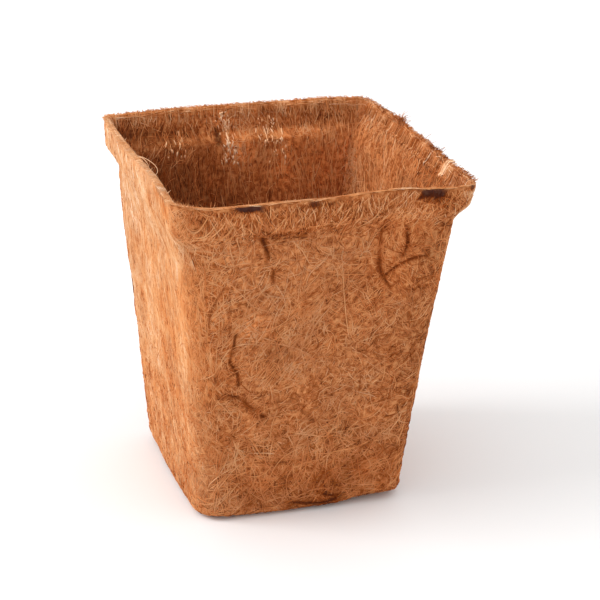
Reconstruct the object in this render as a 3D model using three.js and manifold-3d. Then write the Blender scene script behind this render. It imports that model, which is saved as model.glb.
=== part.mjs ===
// A square, tapered coir pot with a stepped collar, in millimetres, +Z up, standing on z = 0.
// It is laid up from five blanks of latexed coir felt: four wall blanks, each of which turns one corner
// and laps onto the next wall, and a base blank whose edge turns up inside the foot of the walls.
// Every lap is a half lap, pressed to the thickness of one blank, with a film of latex between the plies.
import * as THREE from "three";
import { mergeVertices } from "three/addons/utils/BufferGeometryUtils.js";
import Module from "manifold-3d";

const wasm = await Module();
wasm.setup();

// Driving dimensions
const HEIGHT = 150;
const RIM_WIDTH = 130; // across the collar at its trimmed top edge
const COLLAR_FOOT_WIDTH = 126.5; // across the collar where it meets the step
const WALL_TOP_WIDTH = 115.5; // across the walls just under the step
const FOOT_WIDTH = 94; // across the walls at their lower edge
const COLLAR_HEIGHT = 10.5; // upright band above the step
const STEP_HEIGHT = 9.5; // S-shaped step between wall and collar
const FELT = 3.2; // thickness of a pressed wall blank
const FLOOR = 4; // thickness of the base blank under the soil
const RIM_CORNER = 6.5; // outer corner radius at the rim
const FOOT_CORNER = 11.5; // outer corner radius at the foot
const FOOT_ROUND = 5; // outer round between wall and underside
const FLOOR_ROUND = 3; // inner round between wall and floor
const CORNER_LAP = 10; // how far a wall blank runs past its corner onto the next wall
const FOOT_LAP = 14; // how far the base blank turns up inside the walls
const BOND = 0.3; // latex film between two plies
const DRAIN_DIAMETER = 10;

// Facets
const CORNER_STEPS = 8; // per quarter turn of a corner
const STEP_RINGS = 8; // up the S-shaped step
const ROUND_STEPS = 5; // round the foot and round the floor's edge
const DRAIN_SIDES = 32;
const SMALLEST_CORNER = 1; // a corner keeps this radius under any round or thickness taken from it

const stepFootZ = HEIGHT - COLLAR_HEIGHT - STEP_HEIGHT;
const collarFootZ = HEIGHT - COLLAR_HEIGHT;
const wallFootZ = FOOT_ROUND + BOND;
const tongueTopZ = FOOT_ROUND + FOOT_LAP;
const underPly = (FELT + BOND) / 2; // depth at which the under ply of a half lap begins
const overPly = (FELT - BOND) / 2; // depth at which the over ply of a half lap ends
const wallSlope = (WALL_TOP_WIDTH - FOOT_WIDTH) / 2 / (stepFootZ - FOOT_ROUND);
const collarSlope = (RIM_WIDTH - COLLAR_FOOT_WIDTH) / 2 / COLLAR_HEIGHT;
const footCorner = Math.max(FOOT_CORNER, FOOT_ROUND + SMALLEST_CORNER, FELT + FLOOR_ROUND + SMALLEST_CORNER);

// The step's outer profile leaves the wall and enters the collar along their own slopes.
const third = STEP_HEIGHT / 3;
const stepCurve = new THREE.CubicBezierCurve(
  new THREE.Vector2(WALL_TOP_WIDTH / 2, stepFootZ),
  new THREE.Vector2(WALL_TOP_WIDTH / 2 + wallSlope * third, stepFootZ + third),
  new THREE.Vector2(COLLAR_FOOT_WIDTH / 2 - collarSlope * third, collarFootZ - third),
  new THREE.Vector2(COLLAR_FOOT_WIDTH / 2, collarFootZ),
);

// Outer half width of the pot at a height, and the slope of its side there.
function sideAt(z) {
  if (z <= stepFootZ) {
    return { half: FOOT_WIDTH / 2 + (z - FOOT_ROUND) * wallSlope, slope: wallSlope };
  }
  if (z >= collarFootZ) {
    return { half: RIM_WIDTH / 2 - (HEIGHT - z) * collarSlope, slope: collarSlope };
  }
  const t = (z - stepFootZ) / STEP_HEIGHT;
  const tangent = stepCurve.getTangent(t);
  return { half: stepCurve.getPoint(t).x, slope: tangent.x / tangent.y };
}

// One level of the pot. inset turns a depth below the sloping outer surface into a horizontal distance.
// The outer corner radius changes evenly from foot to rim, and always leaves an inner corner.
function levelAt(z) {
  const { half, slope } = sideAt(z);
  const inset = (depth) => depth * Math.hypot(1, slope);
  const share = (z - FOOT_ROUND) / (HEIGHT - FOOT_ROUND);
  const blended = THREE.MathUtils.lerp(footCorner, RIM_CORNER, share);
  const corner = Math.max(blended, inset(FELT) + SMALLEST_CORNER);
  return { z, half, corner, centre: half - corner, inset };
}

// count + 1 even steps from 0 to 1.
const evenSteps = (count) => Array.from({ length: count + 1 }, (_, i) => i / count);

// Points of a quarter turn about (x, y), starting at the angle given in quarter turns.
function quarterTurn(x, y, radius, z, fromQuarter) {
  return evenSteps(CORNER_STEPS).map((share) => {
    const angle = ((fromQuarter + share) * Math.PI) / 2;
    return new THREE.Vector3(x + radius * Math.cos(angle), y + radius * Math.sin(angle), z);
  });
}

// The whole rounded square of a level, sunk below the outer surface by a depth.
function squareRing(level, depth, z = level.z) {
  const radius = level.corner - level.inset(depth);
  return [0, 1, 2, 3].flatMap((quarter) => {
    const x = level.centre * (quarter === 0 || quarter === 3 ? 1 : -1);
    const y = level.centre * (quarter < 2 ? 1 : -1);
    return quarterTurn(x, y, radius, z, quarter);
  });
}

// Triangles that fill a ring, each counter-clockwise seen from above.
function cap(ring) {
  const flat = ring.map((p) => new THREE.Vector2(p.x, p.y));
  return THREE.ShapeUtils.triangulateShape(flat, []).map(([a, b, c]) =>
    THREE.ShapeUtils.isClockWise([flat[a], flat[b], flat[c]]) ? [a, c, b] : [a, b, c],
  );
}

// Closed body through rings of equal count, each counter-clockwise seen from above. The first ring is its
// lowest, and the last closes it from above, also where the rings turn over an edge and come down inside.
function loft(rings) {
  const count = rings[0].length;
  const last = (rings.length - 1) * count;
  const index = [];
  for (let start = 0; start < last; start += count) {
    for (let i = 0; i < count; i++) {
      const a = start + i;
      const b = start + ((i + 1) % count);
      index.push(a, b, b + count, a, b + count, a + count);
    }
  }
  cap(rings[0]).forEach(([a, b, c]) => index.push(a, c, b));
  cap(rings[rings.length - 1]).forEach((face) => index.push(...face.map((i) => last + i)));
  return new THREE.BufferGeometry().setFromPoints(rings.flat()).setIndex(index);
}

function toSolid(geometry) {
  const bare = geometry.clone();
  bare.deleteAttribute("normal");
  bare.deleteAttribute("uv");
  const merged = mergeVertices(bare);
  const vertProperties = merged.attributes.position.array;
  const triVerts = new Uint32Array(merged.index.array);
  return new wasm.Manifold(new wasm.Mesh({ numProp: 3, vertProperties, triVerts }));
}

// A body with another one cut out of it.
function cut(body, tool) {
  const mesh = toSolid(body).subtract(toSolid(tool)).getMesh();
  return new THREE.BufferGeometry()
    .setAttribute("position", new THREE.BufferAttribute(mesh.vertProperties, 3))
    .setIndex(new THREE.BufferAttribute(mesh.triVerts, 1));
}

// Plan section of the front wall blank: an under tongue at its left end, the full blank along the front
// and round the right-hand corner, and an over tongue along the start of the right-hand wall.
function wallRing({ z, half, corner, centre, inset }) {
  const onFront = (x, depth) => new THREE.Vector3(x, inset(depth) - half, z);
  const onRight = (y, depth) => new THREE.Vector3(half - inset(depth), y, z);
  const rightCorner = (depth) => quarterTurn(centre, -centre, corner - inset(depth), z, 3);
  const underEnd = -centre + BOND;
  const overEnd = -centre + CORNER_LAP;
  const shoulder = overEnd + BOND;
  return [
    onFront(underEnd, underPly),
    onFront(shoulder, underPly),
    onFront(shoulder, 0),
    ...rightCorner(0),
    onRight(overEnd, 0),
    onRight(overEnd, overPly),
    onRight(-centre, overPly),
    ...rightCorner(FELT).reverse(),
    onFront(underEnd, FELT),
  ];
}

// The room that the base blank's turned-up edge takes from the inner half of the walls.
function footRecess() {
  const heights = [0, tongueTopZ + BOND];
  return loft(heights.map((z) => squareRing(levelAt(z), overPly)));
}

function wallBlank() {
  const stepHeights = evenSteps(STEP_RINGS).map((share) => stepFootZ + share * STEP_HEIGHT);
  const heights = [wallFootZ, ...stepHeights, HEIGHT];
  return cut(loft(heights.map((z) => wallRing(levelAt(z)))), footRecess());
}

// The base blank is a shallow dish: underside, foot round, shoulder under the walls, tongue and floor,
// with a hole to drain it.
function baseBlank() {
  const foot = levelAt(FOOT_ROUND);
  const top = levelAt(tongueTopZ);
  const floorEdge = levelAt(FLOOR + FLOOR_ROUND);
  const angles = evenSteps(ROUND_STEPS).map((share) => (share * Math.PI) / 2);
  const footRound = angles.map((angle) =>
    squareRing(foot, FOOT_ROUND * (1 - Math.sin(angle)), FOOT_ROUND * (1 - Math.cos(angle))),
  );
  const floorRound = angles.map((angle) =>
    squareRing(
      floorEdge,
      FELT + FLOOR_ROUND * (1 - Math.cos(angle)),
      FLOOR + FLOOR_ROUND * (1 - Math.sin(angle)),
    ),
  );
  const tongue = [squareRing(foot, underPly), squareRing(top, underPly), squareRing(top, FELT)];
  const drainLength = FLOOR * 3;
  const drain = new THREE.CylinderGeometry(DRAIN_DIAMETER / 2, DRAIN_DIAMETER / 2, drainLength, DRAIN_SIDES);
  drain.rotateX(Math.PI / 2);
  return cut(loft([...footRound, ...tongue, ...floorRound]), drain);
}

// Bare coir is matt. The left wall's combed fibre is the palest.
const coir = (color) => new THREE.MeshStandardMaterial({ color, roughness: 0.9, metalness: 0 });

const pot = new THREE.Group();

const wallGeometry = wallBlank();
const walls = [
  { name: "front_wall", color: 0xb9763f },
  { name: "right_wall", color: 0xb06d3a },
  { name: "back_wall", color: 0xb06d3a },
  { name: "left_wall", color: 0xd09a5f },
];
walls.forEach(({ name, color }, quarter) => {
  const wall = new THREE.Mesh(wallGeometry, coir(color));
  wall.name = name;
  wall.rotation.z = (quarter * Math.PI) / 2;
  pot.add(wall);
});

const base = new THREE.Mesh(baseBlank(), coir(0xa5653a));
base.name = "base";
pot.add(base);

export default pot;
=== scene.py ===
import math
from typing import NamedTuple

import bpy
import numpy as np
from mathutils import Matrix, Vector


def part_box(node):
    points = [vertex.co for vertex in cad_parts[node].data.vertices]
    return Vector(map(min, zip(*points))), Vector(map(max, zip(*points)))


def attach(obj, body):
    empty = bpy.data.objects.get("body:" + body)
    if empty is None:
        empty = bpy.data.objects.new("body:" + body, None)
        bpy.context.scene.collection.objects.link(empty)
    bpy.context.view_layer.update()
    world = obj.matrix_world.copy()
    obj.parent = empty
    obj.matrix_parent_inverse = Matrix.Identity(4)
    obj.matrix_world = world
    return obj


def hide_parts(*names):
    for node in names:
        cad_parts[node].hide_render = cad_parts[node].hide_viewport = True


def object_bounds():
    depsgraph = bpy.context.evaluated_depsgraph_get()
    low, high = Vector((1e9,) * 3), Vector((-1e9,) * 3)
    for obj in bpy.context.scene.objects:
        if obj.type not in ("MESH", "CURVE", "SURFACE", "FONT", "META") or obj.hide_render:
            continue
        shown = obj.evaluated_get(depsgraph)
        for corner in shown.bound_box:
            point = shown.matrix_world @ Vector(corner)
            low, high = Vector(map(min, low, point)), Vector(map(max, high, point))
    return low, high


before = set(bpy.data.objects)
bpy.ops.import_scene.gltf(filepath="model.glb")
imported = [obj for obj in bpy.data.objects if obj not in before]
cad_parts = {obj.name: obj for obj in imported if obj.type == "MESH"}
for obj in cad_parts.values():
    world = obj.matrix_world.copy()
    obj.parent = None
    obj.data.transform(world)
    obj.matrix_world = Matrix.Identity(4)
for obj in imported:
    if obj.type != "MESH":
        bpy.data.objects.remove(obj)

cad_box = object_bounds()

# Lengths are in millimetres until a mesh, lamp or camera is made, and heights run up from the floor.
MM = 0.001

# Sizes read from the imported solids
HEIGHT = cad_box[1][2] / MM
RIM_HALF = cad_box[1][0] / MM
FOOT_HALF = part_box("base")[1][0] / MM
TONGUE_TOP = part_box("base")[1][2] / MM
WALL_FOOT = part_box("front_wall")[0][2] / MM

# Sizes of the felt that a box can't give
COLLAR_FOOT_HALF = 63.25  # half width of the collar where it meets the step
WALL_TOP_HALF = 57.75  # half width of the walls just under the step
COLLAR_HEIGHT = 10.5
STEP_HEIGHT = 9.5
FELT = 3.2  # thickness of the walls
FLOOR = 4.0  # thickness of the base
RIM_CORNER = 6.5  # outer radius of the corners at the rim
FOOT_CORNER = 11.5  # and at the foot
FLOOR_ROUND = 3.0  # between the inner face of the walls and the floor
CORNER_LAP = 10.0  # how far a wall runs past its corner onto the next one
BOND = 0.3  # film of latex between two plies
DRAIN_RADIUS = 5.0
FOOT_ROUND = WALL_FOOT - BOND  # between the outer face of the walls and the underside
STEP_FOOT = HEIGHT - COLLAR_HEIGHT - STEP_HEIGHT
COLLAR_FOOT = HEIGHT - COLLAR_HEIGHT
WALLS = ("front_wall", "right_wall", "back_wall", "left_wall")
FRONT, RIGHT, BACK, LEFT = range(4)

GRID = 0.85  # between neighbouring points of the felt's meshes


# Blends

def bell(distance, half_length):
    """1 at no distance, falling smoothly to 0 at the half length."""
    return np.cos(np.clip(np.abs(distance) / half_length, 0, 1) * math.pi / 2) ** 2


def share_between(value, start, end):
    """0 where a value has not passed the start, 1 where it is past the end, and an even rise between."""
    return np.clip((value - start) / (end - start), 0, 1)


# The true shape of the pot's side

def profile(z):
    """Outer half width of the pot at heights z, and the slope of its side there."""
    wall_slope = (WALL_TOP_HALF - FOOT_HALF) / (STEP_FOOT - FOOT_ROUND)
    collar_slope = (RIM_HALF - COLLAR_FOOT_HALF) / COLLAR_HEIGHT
    t = share_between(z, STEP_FOOT, COLLAR_FOOT)
    a, d = WALL_TOP_HALF, COLLAR_FOOT_HALF
    b = a + wall_slope * STEP_HEIGHT / 3
    c = d - collar_slope * STEP_HEIGHT / 3
    step = a * (1 - t) ** 3 + 3 * b * t * (1 - t) ** 2 + 3 * c * t**2 * (1 - t) + d * t**3
    rise = (b - a) * (1 - t) ** 2 + 2 * (c - b) * t * (1 - t) + (d - c) * t**2
    low, high = z < STEP_FOOT, z > COLLAR_FOOT
    half = np.where(high, RIM_HALF - (HEIGHT - z) * collar_slope, step)
    half = np.where(low, FOOT_HALF + (z - FOOT_ROUND) * wall_slope, half)
    slope = np.where(high, collar_slope, 3 * rise / STEP_HEIGHT)
    return half, np.where(low, wall_slope, slope)


def plan(z):
    """Outer half width, side slope, corner radius and the offset of the corners' centres at heights z."""
    half, slope = profile(z)
    share = (z - FOOT_ROUND) / (HEIGHT - FOOT_ROUND)
    radius = FOOT_CORNER + (RIM_CORNER - FOOT_CORNER) * share
    return half, slope, radius, half - radius


def on_shell(wall, x, z, depth):
    """Points and outward normals at distances x round the pot from the middle of a wall, sunk by a depth.

    Also gives the wall that each point lies on, and its distance from the start of that wall's flat."""
    half, slope, radius, centre = plan(np.maximum(z, FOOT_ROUND))
    period = 2 * centre + radius * math.pi / 2
    turns = np.floor((x + centre) / period)
    along = x + centre - turns * period
    angle = np.maximum(along - 2 * centre, 0) / radius - math.pi / 2
    spin = (wall + turns) * math.pi / 2
    reach = radius - depth * np.hypot(1, slope)
    px = np.minimum(along - centre, centre)
    point = np.stack([
        px * np.cos(spin) + centre * np.sin(spin) + reach * np.cos(angle + spin),
        px * np.sin(spin) - centre * np.cos(spin) + reach * np.sin(angle + spin),
        z + 0 * px,
    ], -1)
    normal = np.stack([np.cos(angle + spin), np.sin(angle + spin), -slope], -1)
    inset = foot_inset(point, half) * (depth < FELT)
    point[..., :2] -= normal[..., :2] * inset[..., None]
    normal /= np.linalg.norm(normal, axis=-1, keepdims=True)
    return point, normal, np.mod(wall + turns, 4).astype(int), along


SHARP_FEET = (  # side of a corner in x and y, and how much less its foot is rounded
    (1, -1, 0.75),
    (-1, -1, 0.4),
)


def foot_inset(point, half):
    """How far the rounded foot draws in at points of the true side."""
    x, y, z = np.moveaxis(point, -1, 0)
    radius = FOOT_ROUND
    for side_x, side_y, sharpness in SHARP_FEET:
        corner = np.clip((x * side_x + y * side_y) / (2 * half), 0, 1) ** 6
        radius = radius * (1 - sharpness * corner)
    low = np.clip(1 - z / radius, 0, 1)
    return radius * (1 - np.sqrt(1 - low**2))


# How this pot has settled

FOOT_WAVE_TO = 45.0  # the foot's waves die out at this height
RIM_WAVE_FROM = 95.0  # the rim's waves begin at this height
FOOT_LIFTS = (  # side of each foot corner in x and y, and how far it stands off the floor
    (-1, -1, 0.5),
    (1, -1, 3.5),
    (1, 1, 2.4),
    (-1, 1, 3.7),
)
FOOT_BULGE = 1.0  # how far the middle of each side bulges at the foot
SIDE_BULGES = (  # side in x, bulge, its middle height and half height
    (-1, 0.9, 122.0, 55.0),
    (1, 1.1, 120.0, 50.0),
)
BACK_LEFT_PULL = 3.4  # how far the back-left corner of the rim is drawn to the right
BACK_CORNER_DROPS = ((-1, 1.0), (1, 1.7))  # side in x, drop of the rim
RIM_RISE = 0.4  # how far the whole rim stands above the true height
STEP_LIFT = 3.2  # the collar's step rides higher towards the right of the front
STEP_LIFT_REACH = 15.0  # above and below the middle of the step
STEP_LIFT_SPAN = (-40.0, 50.0)  # x where the lift begins and where it is full
STEP_TUCK = 1.0  # the step's foot is tucked up towards the back of the left
STEP_TUCK_REACH = 12.0  # above and below the step's foot
STEP_FILLS = ((-1, 2.5), (1, 0.6))  # side in x, and how far the hollow under its step is filled out
STEP_FILL_REACH = 10.5  # above and below the step's foot
STEP_FILL_SPAN = (0.8, 0.2)  # shares of the half width in y where the filling begins and where it is full
FOOT_WAVES = (  # wall, middle along the wall, half length, rise
    (FRONT, -40.0, 16.0, 1.0),
    (FRONT, 30.0, 20.0, 1.5),
    (LEFT, 15.0, 40.0, 0.9),
)
RIM_WEAR = (2.2, 5.0, 2.6, 0.4)  # how far the inner edge of the rim of each wall has worn down
RIM_WEAR_DEPTH = 14.0  # how far below the rim the wear begins
RIM_ROUGHNESS = (0.25, 0.6, 0.2, 0.3)  # height of the waves in each wall's rim
RIM_DIPS = (  # wall, middle along the wall, half length, drop
    (RIGHT, 18.0, 50.0, 0.5),
    (RIGHT, 52.0, 16.0, 1.4),
    (BACK, -52.0, 20.0, 0.5),
    (BACK, 45.0, 25.0, -0.4),
    (FRONT, -64.0, 14.0, -1.7),
    (FRONT, -42.0, 24.0, 0.6),
    (FRONT, 27.0, 30.0, -1.7),
    (FRONT, 62.0, 14.0, -0.4),
    (LEFT, -33.0, 44.0, -2.3),
)
LEFT_BOW = (-15.0, 60.0, 1.6)  # middle along the left wall, half length, and how far its rim bows inward
FOOT_PULL = 1.0  # the front-right foot corner is drawn out to a sharper point


def facing(p, half):
    """A share for each wall: 1 on its face, falling off quickly away from it."""
    x, y = p[..., 0], p[..., 1]
    return [np.clip(side / half, 0, 1) ** 6 for side in (-y, x, y, -x)]


def in_corner(p, half):
    """1 at the corners of the pot, falling to 0 at the middles of its walls."""
    return np.clip((np.abs(p[..., 0]) + np.abs(p[..., 1])) / half - 1, 0, 1) ** 2


def along_wall(wall, p):
    """Places of points along a wall: x on the front and back walls, and y on the other two."""
    return p[..., wall % 2]


def foot_shift(p, half):
    """How far the foot has lifted, waved, bulged and been drawn out."""
    x, y, z = np.moveaxis(p, -1, 0)
    foot = share_between(z, FOOT_WAVE_TO, 0) ** 2
    corner, faces = in_corner(p, half), facing(p, half)
    shift = np.zeros(p.shape)
    for side_x, side_y, lift in FOOT_LIFTS:
        shift[..., 2] += lift * foot * corner * (x * side_x > 0) * (y * side_y > 0)
    for wall, middle, half_length, rise in FOOT_WAVES:
        shift[..., 2] += rise * foot * faces[wall] * bell(along_wall(wall, p) - middle, half_length)
    for axis in (0, 1):
        middle = bell(p[..., 1 - axis], half)
        shift[..., axis] += FOOT_BULGE * foot * middle * (p[..., axis] / half) ** 3
    pull = FOOT_PULL * foot * corner**2 * (x > 0) * (y < 0)
    shift[..., 0] += pull
    shift[..., 1] -= pull
    return shift


def rim_shift(p, half):
    """How far the rim has risen, dropped, bowed and been pulled, and the sides under it have bulged."""
    x, y, z = np.moveaxis(p, -1, 0)
    rim = share_between(z, RIM_WAVE_FROM, HEIGHT) ** 2
    corner, faces = in_corner(p, half), facing(p, half)
    shift = np.zeros(p.shape)
    shift[..., 2] += RIM_RISE * rim
    for side_x, drop in BACK_CORNER_DROPS:
        shift[..., 2] -= drop * rim * corner**2 * (y > 0) * (x * side_x > 0)
    for wall, middle, half_length, drop in RIM_DIPS:
        shift[..., 2] -= drop * rim * faces[wall] * bell(along_wall(wall, p) - middle, half_length)
    middle, half_length, bow = LEFT_BOW
    shift[..., 0] += bow * rim * faces[LEFT] * bell(y - middle, half_length)
    back_left = np.clip((y - x) / (2 * half), 0, 1) ** 4
    shift[..., 0] += BACK_LEFT_PULL * rim * back_left
    for side_x, bulge, middle, half_height in SIDE_BULGES:
        sideward = np.clip(x * side_x / half, 0, 1) ** 5
        shift[..., 0] += side_x * bulge * sideward * bell(z - middle, half_height)
    return shift


def step_shift(p, half):
    """How far the collar's step rides up, is tucked up and is filled out."""
    x, y, z = np.moveaxis(p, -1, 0)
    faces = facing(p, half)
    lift = bell(z - (STEP_FOOT + COLLAR_FOOT) / 2, STEP_LIFT_REACH) * share_between(x, *STEP_LIFT_SPAN)
    tuck = bell(z - STEP_FOOT, STEP_TUCK_REACH) * share_between(y, -half, half)
    fill = bell(z - STEP_FOOT, STEP_FILL_REACH) * share_between(y / half, *STEP_FILL_SPAN)
    shift = np.zeros(p.shape)
    shift[..., 2] += STEP_LIFT * lift * faces[FRONT] + STEP_TUCK * tuck * faces[LEFT]
    for side_x, most in STEP_FILLS:
        sideward = np.clip(x * side_x / half, 0, 1) ** 3
        shift[..., 0] += side_x * most * fill * sideward
    return shift


def settle(p):
    """Moves points of the true shape to where the walls of this pot have settled."""
    half = profile(np.clip(p[..., 2], FOOT_ROUND, HEIGHT))[0]
    return p + foot_shift(p, half) + rim_shift(p, half) + step_shift(p, half)


def by_wall(p, values):
    """A value at points near the rim, blended from one for each wall."""
    x, y = p[..., 0], p[..., 1]
    shares = [np.clip(side / RIM_HALF, 0, 1) ** 4 for side in (-y, x, y, -x)]
    return sum(value * share for value, share in zip(values, shares)) / np.maximum(sum(shares), 1)


def rim_drop(p, depth):
    """How far the rim has worn down at points of the true shape, from none outside to most inside."""
    near = share_between(p[..., 2], HEIGHT - RIM_WEAR_DEPTH, HEIGHT) ** 2
    return by_wall(p, RIM_WEAR) * near * (1 - np.sqrt(1 - np.clip(depth / FELT, 0, 1) ** 2))


# Relief of the pressed felt

NOISE_CELLS = 64
LUMPS = ((11.0, 0.2, 1), (4.2, 0.13, 2), (1.9, 0.1, 3))  # cell, height, seed of the felt's relief
CLUMPS = ((13.0, 0.1, 31), (4.5, 0.12, 32), (2.0, 0.1, 33))  # and of its lighter and darker fibre
RIM_WAVES = ((2.2, 0.6, 5), (5.0, 0.6, 6))  # and of the waves in its trimmed top
HEM_NOISE = (6.0, 4)  # cell and seed, as in the lines below
LAP_NOISE = (9.0, 9)
STAIN_NOISE = (1.4, 21)
RIM_TONE_NOISE = (3.0, 34)
TUFT_NOISE = (5.0, 35)
PIT_NOISE = (1.4, 36)
RUST_NOISE = (9.0, 37)
SWIRL_NOISE = (15.0, 41)
WAVER_NOISE = (9.0, 42)
WALLS_APART, HEMS_APART = 50.0, 40.0  # between unrolled walls, and their lower edges, where noise is taken
LAP_STEP = 0.15  # how far an over ply stands proud at its end
LAP_FADE = 6.0  # how far from its end it has nearly come down
LAP_GROOVE = 0.55  # depth of the groove past the end
LAP_GROOVE_WIDTH = 0.7
LAP_DARK = 0.6  # how dark the painted shade in the groove is
LAP_OPEN_GAIN, LAP_OPEN_LEVEL = 1.5, 0.3  # gain of the noise that opens it, and what is taken off
PIT_GAIN, PIT_LEVEL = 3.0, 1.4  # the same for pits
# the painted shade in a crease is no darker than this
DARKEST_CREASE = 0.9
CREASE_FADE = (7.0, 12.0)  # heights; lower down creases are only lines of painted shade, as the base lies just behind
CREASES = (  # points on the front wall as (distance from its middle, height), half width, depth
    (((26.7, 133.4), (25.9, 127.5), (25.6, 122.0)), 1.7, 0.35),
    (((25.6, 122.0), (25.6, 117.0), (26.7, 112.8), (28.2, 110.3)), 1.5, 0.65),
    (((29.0, 111.6), (33.2, 114.4), (37.0, 116.4), (40.9, 117.8), (47.1, 118.6)), 0.9, 0.7),
    (((28.2, 110.8), (29.8, 107.8), (31.8, 105.3)), 0.8, 0.5),
    (((36.8, 129.2), (37.7, 124.1), (37.0, 121.4)), 1.1, 0.8),
    (((36.7, 120.8), (36.2, 119.4)), 1.3, 0.6),
    (((-26.0, 133.5), (-22.2, 125.0)), 1.1, 0.9),
    (((-20.1, 118.5), (-19.8, 113.0)), 1.1, 0.7),
    (((-40.2, 112.8), (-43.7, 107.3), (-46.0, 100.7), (-46.9, 91.6), (-46.6, 84.6)), 0.65, 0.7),
    (((-37.8, 110.8), (-37.9, 98.4), (-37.4, 90.4)), 0.4, 0.5),
    (((-34.5, 90.2), (-35.9, 82.4), (-36.9, 77.9), (-33.3, 72.7), (-32.5, 66.4)), 0.75, 0.85),
    (((-32.9, 71.8), (-35.0, 72.0), (-37.4, 70.6)), 0.5, 0.7),
    (((-45.0, 72.5), (-42.9, 69.4)), 1.4, 0.6),
    (((-38.4, 62.8), (-35.3, 61.5), (-31.8, 60.1)), 0.9, 0.8),
    (((-36.0, 59.3), (-33.4, 58.0)), 0.5, 0.5),
    (((-30.0, 60.0), (-28.0, 56.0), (-24.4, 53.4)), 2.2, 0.5),
    (((-21.5, 50.5), (-20.5, 49.3)), 1.2, 1.0),
    (((-6.1, 5.6), (0.4, 4.3), (6.5, 3.4), (12.0, 3.8), (15.8, 4.8)), 0.9, 0.9),
    (((5.4, 9.2), (11.4, 6.6), (17.0, 6.0)), 0.6, 0.8),
)


def noise(p, cell, seed):
    """Smooth lattice noise between -1 and 1 at points p."""
    table = np.random.default_rng(seed).random((NOISE_CELLS,) * 3) * 2 - 1
    scaled = p / cell
    low = np.floor(scaled).astype(int)
    f = scaled - low
    f = f * f * (3 - 2 * f)
    total = np.zeros(p.shape[:-1])
    for corner in np.ndindex(2, 2, 2):
        at = np.mod(low + corner, NOISE_CELLS)
        weight = np.prod(np.where(np.array(corner) == 1, f, 1 - f), axis=-1)
        total += weight * table[at[..., 0], at[..., 1], at[..., 2]]
    return total


def unrolled(wall, x, z, apart=WALLS_APART):
    """Places on an unrolled wall, apart from those on the other walls."""
    return np.stack([x, 0 * x + apart * wall, z], -1)


def layered(p, layers):
    """Noise in layers, each with its own cell, size and seed."""
    return sum(size * noise(p, cell, seed) for cell, size, seed in layers)


def pits(p):
    """1 in small pits scattered over the felt, whose darkness is painted shade, 0 between them."""
    return np.clip(PIT_GAIN * noise(p, *PIT_NOISE) - PIT_LEVEL, 0, 1)


def distance_to_path(x, z, path):
    """Distance of points on a wall from a line of straight pieces."""
    nearest = np.full(np.shape(x), np.inf)
    for (x0, z0), (x1, z1) in zip(path[:-1], path[1:]):
        dx, dz = x1 - x0, z1 - z0
        t = np.clip(((x - x0) * dx + (z - z0) * dz) / (dx * dx + dz * dz), 0, 1)
        nearest = np.minimum(nearest, np.hypot(x - x0 - t * dx, z - z0 - t * dz))
    return nearest


def creasing(wall, x, z):
    """Depth of the creases at points of the outer walls, and how dark their painted shade is there."""
    depth = np.zeros(np.shape(x))
    dark = np.zeros(np.shape(x))
    for path, width, groove in CREASES:
        share = np.exp(-((distance_to_path(x, z, path) / width) ** 2)) * (wall == FRONT)
        depth = np.maximum(depth, groove * share * share_between(z, *CREASE_FADE))
        dark = np.maximum(dark, share * min(groove, DARKEST_CREASE))
    return depth, dark


def lap_relief(p, along):
    """The over ply's raised end and the groove just past it, which opens in places, with the groove's share
    for its painted shade.
    """
    past = along - CORNER_LAP
    proud = LAP_STEP * np.exp(np.minimum(past, 0) / LAP_FADE) * (past < 0)
    opened = np.clip(LAP_OPEN_GAIN * noise(p, *LAP_NOISE) - LAP_OPEN_LEVEL, 0, 1)
    groove = np.exp(-((past / LAP_GROOVE_WIDTH) ** 2)) * opened
    return proud - LAP_GROOVE * groove, groove


LEDGES = np.array([  # foot and top of the step inside each wall
    (130.0, 143.0),
    (123.0, 147.0),
    (134.5, 140.0),
    (130.0, 143.0),
])
LEDGE_BLEND = (0.55, 0.85)  # shares of a wall's half length between which its ledge turns into the corner's


def ledge(wall, x, z):
    """Heights on the true shape that the inner face follows, whose step is sharper on some walls."""
    near_corner = share_between(np.abs(x) / plan(z)[3], *LEDGE_BLEND)
    neighbour = np.mod(wall + np.where(x > 0, 1, -1), 4)
    turning = (LEDGES[neighbour] - LEDGES[wall]) * 0.5 * near_corner[..., None]
    foot, top = np.moveaxis(LEDGES[wall] + turning, -1, 0)
    below = z * STEP_FOOT / foot
    within = STEP_FOOT + STEP_HEIGHT * (z - foot) / (top - foot)
    above = HEIGHT - (HEIGHT - z) * COLLAR_HEIGHT / (HEIGHT - top)
    return np.where(z < foot, below, np.where(z > top, above, within))


def felt_at(wall, x, z, outer, lift=0.0):
    """Points, normals away from the felt, and the painted shade of creases and the lap groove at places on
    the outer or inner face of the walls.
    """
    if outer:
        p, normal, on, along = on_shell(wall, x, z, 0.0)
    else:
        p, normal, on, along = on_shell(wall, x, ledge(wall, x, z), FELT)
        p[..., 2] = z
    height = layered(p, LUMPS)
    dark = np.zeros(height.shape)
    if outer:
        from_middle = along - plan(z)[3]
        crease, dark = creasing(on, from_middle, z)
        lap, lap_dark = lap_relief(p, along)
        height = height + lap - crease
        dark = np.maximum(dark, LAP_DARK * lap_dark)
    else:
        normal = -normal
    moved = settle(p)
    if not outer:
        moved[..., 2] -= rim_drop(p, FELT)
    return moved + normal * (height + lift)[..., None], normal, dark


# Colour of the felt from place to place

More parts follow.
